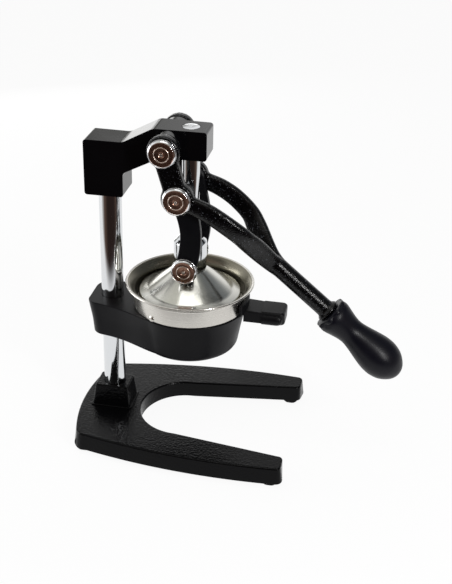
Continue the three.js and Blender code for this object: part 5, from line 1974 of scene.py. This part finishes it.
@dataclass
class Studio:
    """The pale floor, the soft light and the camera."""

    column_x: float
    azimuth: float = 10.22
    elevation: float = 27.44
    roll: float = 1.4758
    distance: float = 1104.87
    focal_px: float = 1099.57
    image_height: int = 584
    target: tuple = (118.04, 0.0, 166.59)
    floor_centre: tuple = (-0.1, 1.0)
    floor_radius: float = 1.5
    fade_start: float = 1.25
    fade_end: float = 1.46
    floor_drop: float = 0.0004
    paper: str = "#fbfbfb"
    paper_glow: float = 0.93
    wall: str = "#dcdcde"
    sensor: float = 36.0
    lamp_aim: tuple = (0.0, 0.0, 0.17)
    # Shades of the room: the direction each is centred on, and its colours by the cosine from there
    shades: tuple = (
        # The dim side behind the camera, which chrome and caps show as brown
        ((0.27, -0.86, -0.43), ((0.0, "#ffffff"), (0.25, "#b4afab"), (0.5, "#5c4a41"), (0.9, "#2c211e"))),
        # The ceiling over the camera
        ((0.0, -0.3, 0.95), ((0.5, "#ffffff"), (0.9, "#dadad4"))),
        # The upper corner behind the grip, which darkens the right of the cone
        ((0.75, 0.35, 0.55), ((0.6, "#ffffff"), (0.95, "#707478"))),
        # A narrow patch behind the press, which draws the thin line down the column
        ((-0.56, 0.83, 0.03), ((0.85, "#ffffff"), (0.96, "#76766f"))),
    )
    # The soft boxes: name, place, width and height, in metres, and how bright the face is, where 1 is white
    lamps: tuple = (
        ("overhead_box", (0.02, -0.2, 1.35), (0.8, 0.4), 1.9),
        ("left_box", (-1.1, -0.05, 0.3), (0.7, 0.45), 4.0),
        ("right_box", (0.87, -0.86, 0.75), (0.1, 0.6), 54.0),
        ("back_box", (-0.6, 1.1, 0.32), (0.8, 0.5), 1.8),
    )

    def camera(self) -> None:
        """Stands the camera where the photograph was taken from."""
        a, e, r = (math.radians(v) for v in (self.azimuth, self.elevation, self.roll))
        back = Vector((math.sin(a) * math.cos(e), -math.cos(a) * math.cos(e), math.sin(e)))
        right = Vector((math.cos(a), math.sin(a), 0))
        up = back.cross(right)
        side, top = right * math.cos(r) + up * math.sin(r), up * math.cos(r) - right * math.sin(r)
        target = Vector(self.target) * MM + Vector((self.column_x, 0, 0))
        data = bpy.data.cameras.new("camera")
        data.sensor_width = self.sensor
        data.lens = self.focal_px * self.sensor / self.image_height
        data.clip_start = 0.05
        camera = bpy.data.objects.new("camera", data)
        turned = Matrix((side, top, back)).transposed().to_4x4()
        camera.matrix_world = Matrix.Translation(target + back * self.distance * MM) @ turned
        bpy.context.scene.collection.objects.link(camera)
        bpy.context.scene.camera = camera

    def world(self) -> None:
        """Lights the room: white to the camera, to metal and to glass, and a little darker to all else.

        The room's shades lie over it for everything but the camera.
        """
        world = bpy.data.worlds.new("studio")
        world.use_nodes = True
        bpy.context.scene.world = world
        tree = world.node_tree
        tree.nodes.clear()
        towards = add_node(tree, "ShaderNodeTexCoord").outputs["Generated"]
        path = add_node(tree, "ShaderNodeLightPath")
        either = {0: path.outputs["Is Glossy Ray"], 1: path.outputs["Is Transmission Ray"]}
        shiny = add_node(tree, "ShaderNodeMath", either, operation="MAXIMUM")
        walls = {0: shiny.outputs[0], 6: linear(self.wall), 7: linear("#ffffff")}
        room = add_node(tree, "ShaderNodeMix", walls, data_type="RGBA").outputs[2]
        for middle, stops in self.shades:
            laid = {0: 1.0, 6: room, 7: self.shade(tree, towards, middle, stops)}
            room = add_node(tree, "ShaderNodeMix", laid, data_type="RGBA", blend_type="MULTIPLY").outputs[2]
        sides = {0: path.outputs["Is Camera Ray"], 6: room, 7: linear("#ffffff")}
        seen = add_node(tree, "ShaderNodeMix", sides, data_type="RGBA")
        glow = add_node(tree, "ShaderNodeBackground", {"Color": seen.outputs[2], "Strength": 1.0})
        add_node(tree, "ShaderNodeOutputWorld", {"Surface": glow.outputs[0]})

    def shade(
        self,
        tree: bpy.types.NodeTree,
        towards: bpy.types.NodeSocket,
        middle: Place,
        stops: Sequence[tuple[float, str]],
    ) -> bpy.types.NodeSocket:
        """Shades the room round one direction.

        Args:
            tree: The world's tree.
            towards: The direction looked in.
            middle: The direction that the shade is centred on.
            stops: Colours, each with the cosine from the middle where it stands.

        Returns:
            The colour's socket.
        """
        near = add_node(tree, "ShaderNodeVectorMath", {0: towards, 1: middle}, operation="DOT_PRODUCT")
        ramp = add_node(tree, "ShaderNodeValToRGB", {"Fac": near.outputs["Value"]})
        ramp.color_ramp.interpolation = "EASE"
        while len(ramp.color_ramp.elements) < len(stops):
            ramp.color_ramp.elements.new(0.5)
        for element, (cosine, code) in zip(ramp.color_ramp.elements, stops):
            element.position = cosine
            element.color = linear(code)
        return ramp.outputs["Color"]

    def lamp(self, name: str, place: Place, size: Place, level: float) -> None:
        """Hangs a soft box that faces the press.

        Args:
            name: The lamp's name.
            place: Where it hangs, in metres.
            size: Its width and height.
            level: How bright its face is, where 1 is white.
        """
        data = bpy.data.lights.new(name, "AREA")
        data.shape = "RECTANGLE"
        data.size, data.size_y = size
        data.energy = level * math.pi * size[0] * size[1]
        lamp = bpy.data.objects.new(name, data)
        aim = Vector(self.lamp_aim) - Vector(place)
        lamp.matrix_world = Matrix.Translation(place) @ aim.to_track_quat("-Z", "Y").to_matrix().to_4x4()
        lamp.visible_camera = False
        bpy.context.scene.collection.objects.link(lamp)

    def floor(self) -> None:
        """Lays a pale round floor that fades to white at its rim."""
        disc = Shape()
        bmesh.ops.create_circle(disc.mesh, cap_ends=True, radius=self.floor_radius, segments=128)
        disc.move(Matrix.Translation((*self.floor_centre, -self.floor_drop)))
        floor = disc.loose()
        floor.name = "floor"
        material = bpy.data.materials.new("white_sweep")
        material.use_nodes = True
        tree = material.node_tree
        tree.nodes.clear()
        place = add_node(tree, "ShaderNodeTexCoord").outputs["Object"]
        centre = (*self.floor_centre, 0)
        away = add_node(tree, "ShaderNodeVectorMath", {0: place, 1: centre}, operation="DISTANCE")
        rim = {"Value": away.outputs["Value"], "From Min": self.fade_start, "From Max": self.fade_end}
        fade = add_node(tree, "ShaderNodeMapRange", rim, interpolation_type="SMOOTHSTEP")
        paper = add_node(tree, "ShaderNodeBsdfDiffuse", {"Color": linear(self.paper)}).outputs[0]
        white = add_node(tree, "ShaderNodeEmission", {"Color": linear("#ffffff"), "Strength": 1.0}).outputs[0]
        clear = add_node(tree, "ShaderNodeBsdfTransparent").outputs[0]
        seen = add_node(tree, "ShaderNodeLightPath").outputs["Is Camera Ray"]
        beyond = add_node(tree, "ShaderNodeMixShader", {0: seen, 1: clear, 2: white}).outputs[0]
        glowing = add_node(tree, "ShaderNodeMixShader", {0: self.paper_glow, 1: paper, 2: white}).outputs[0]
        both = add_node(tree, "ShaderNodeMixShader", {0: fade.outputs[0], 1: glowing, 2: beyond})
        add_node(tree, "ShaderNodeOutputMaterial", {"Surface": both.outputs[0]})
        floor.data.materials.append(material)

    def build(self) -> None:
        """Sets the studio up."""
        bpy.context.scene.view_settings.view_transform = "Standard"
        self.camera()
        self.world()
        self.floor()
        for box in self.lamps:
            self.lamp(*box)


def corners(box: tuple[Vector, Vector]) -> list[list[float]]:
    """Returns a box's two corners as plain lists."""
    return [list(corner) for corner in box]


def main() -> None:
    """Builds the looks of the press on its frame."""
    logging.basicConfig(level=logging.INFO, format="%(name)s: %(message)s")
    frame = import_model()
    bench = Bench(frame)
    Studio(bench.column_x).build()
    for kind in (BaseAndColumn, Head, Holder, Pivots, Lever, Links, Ram, Bowl):
        kind(bench).build()


if __name__ == "__main__":
    main()
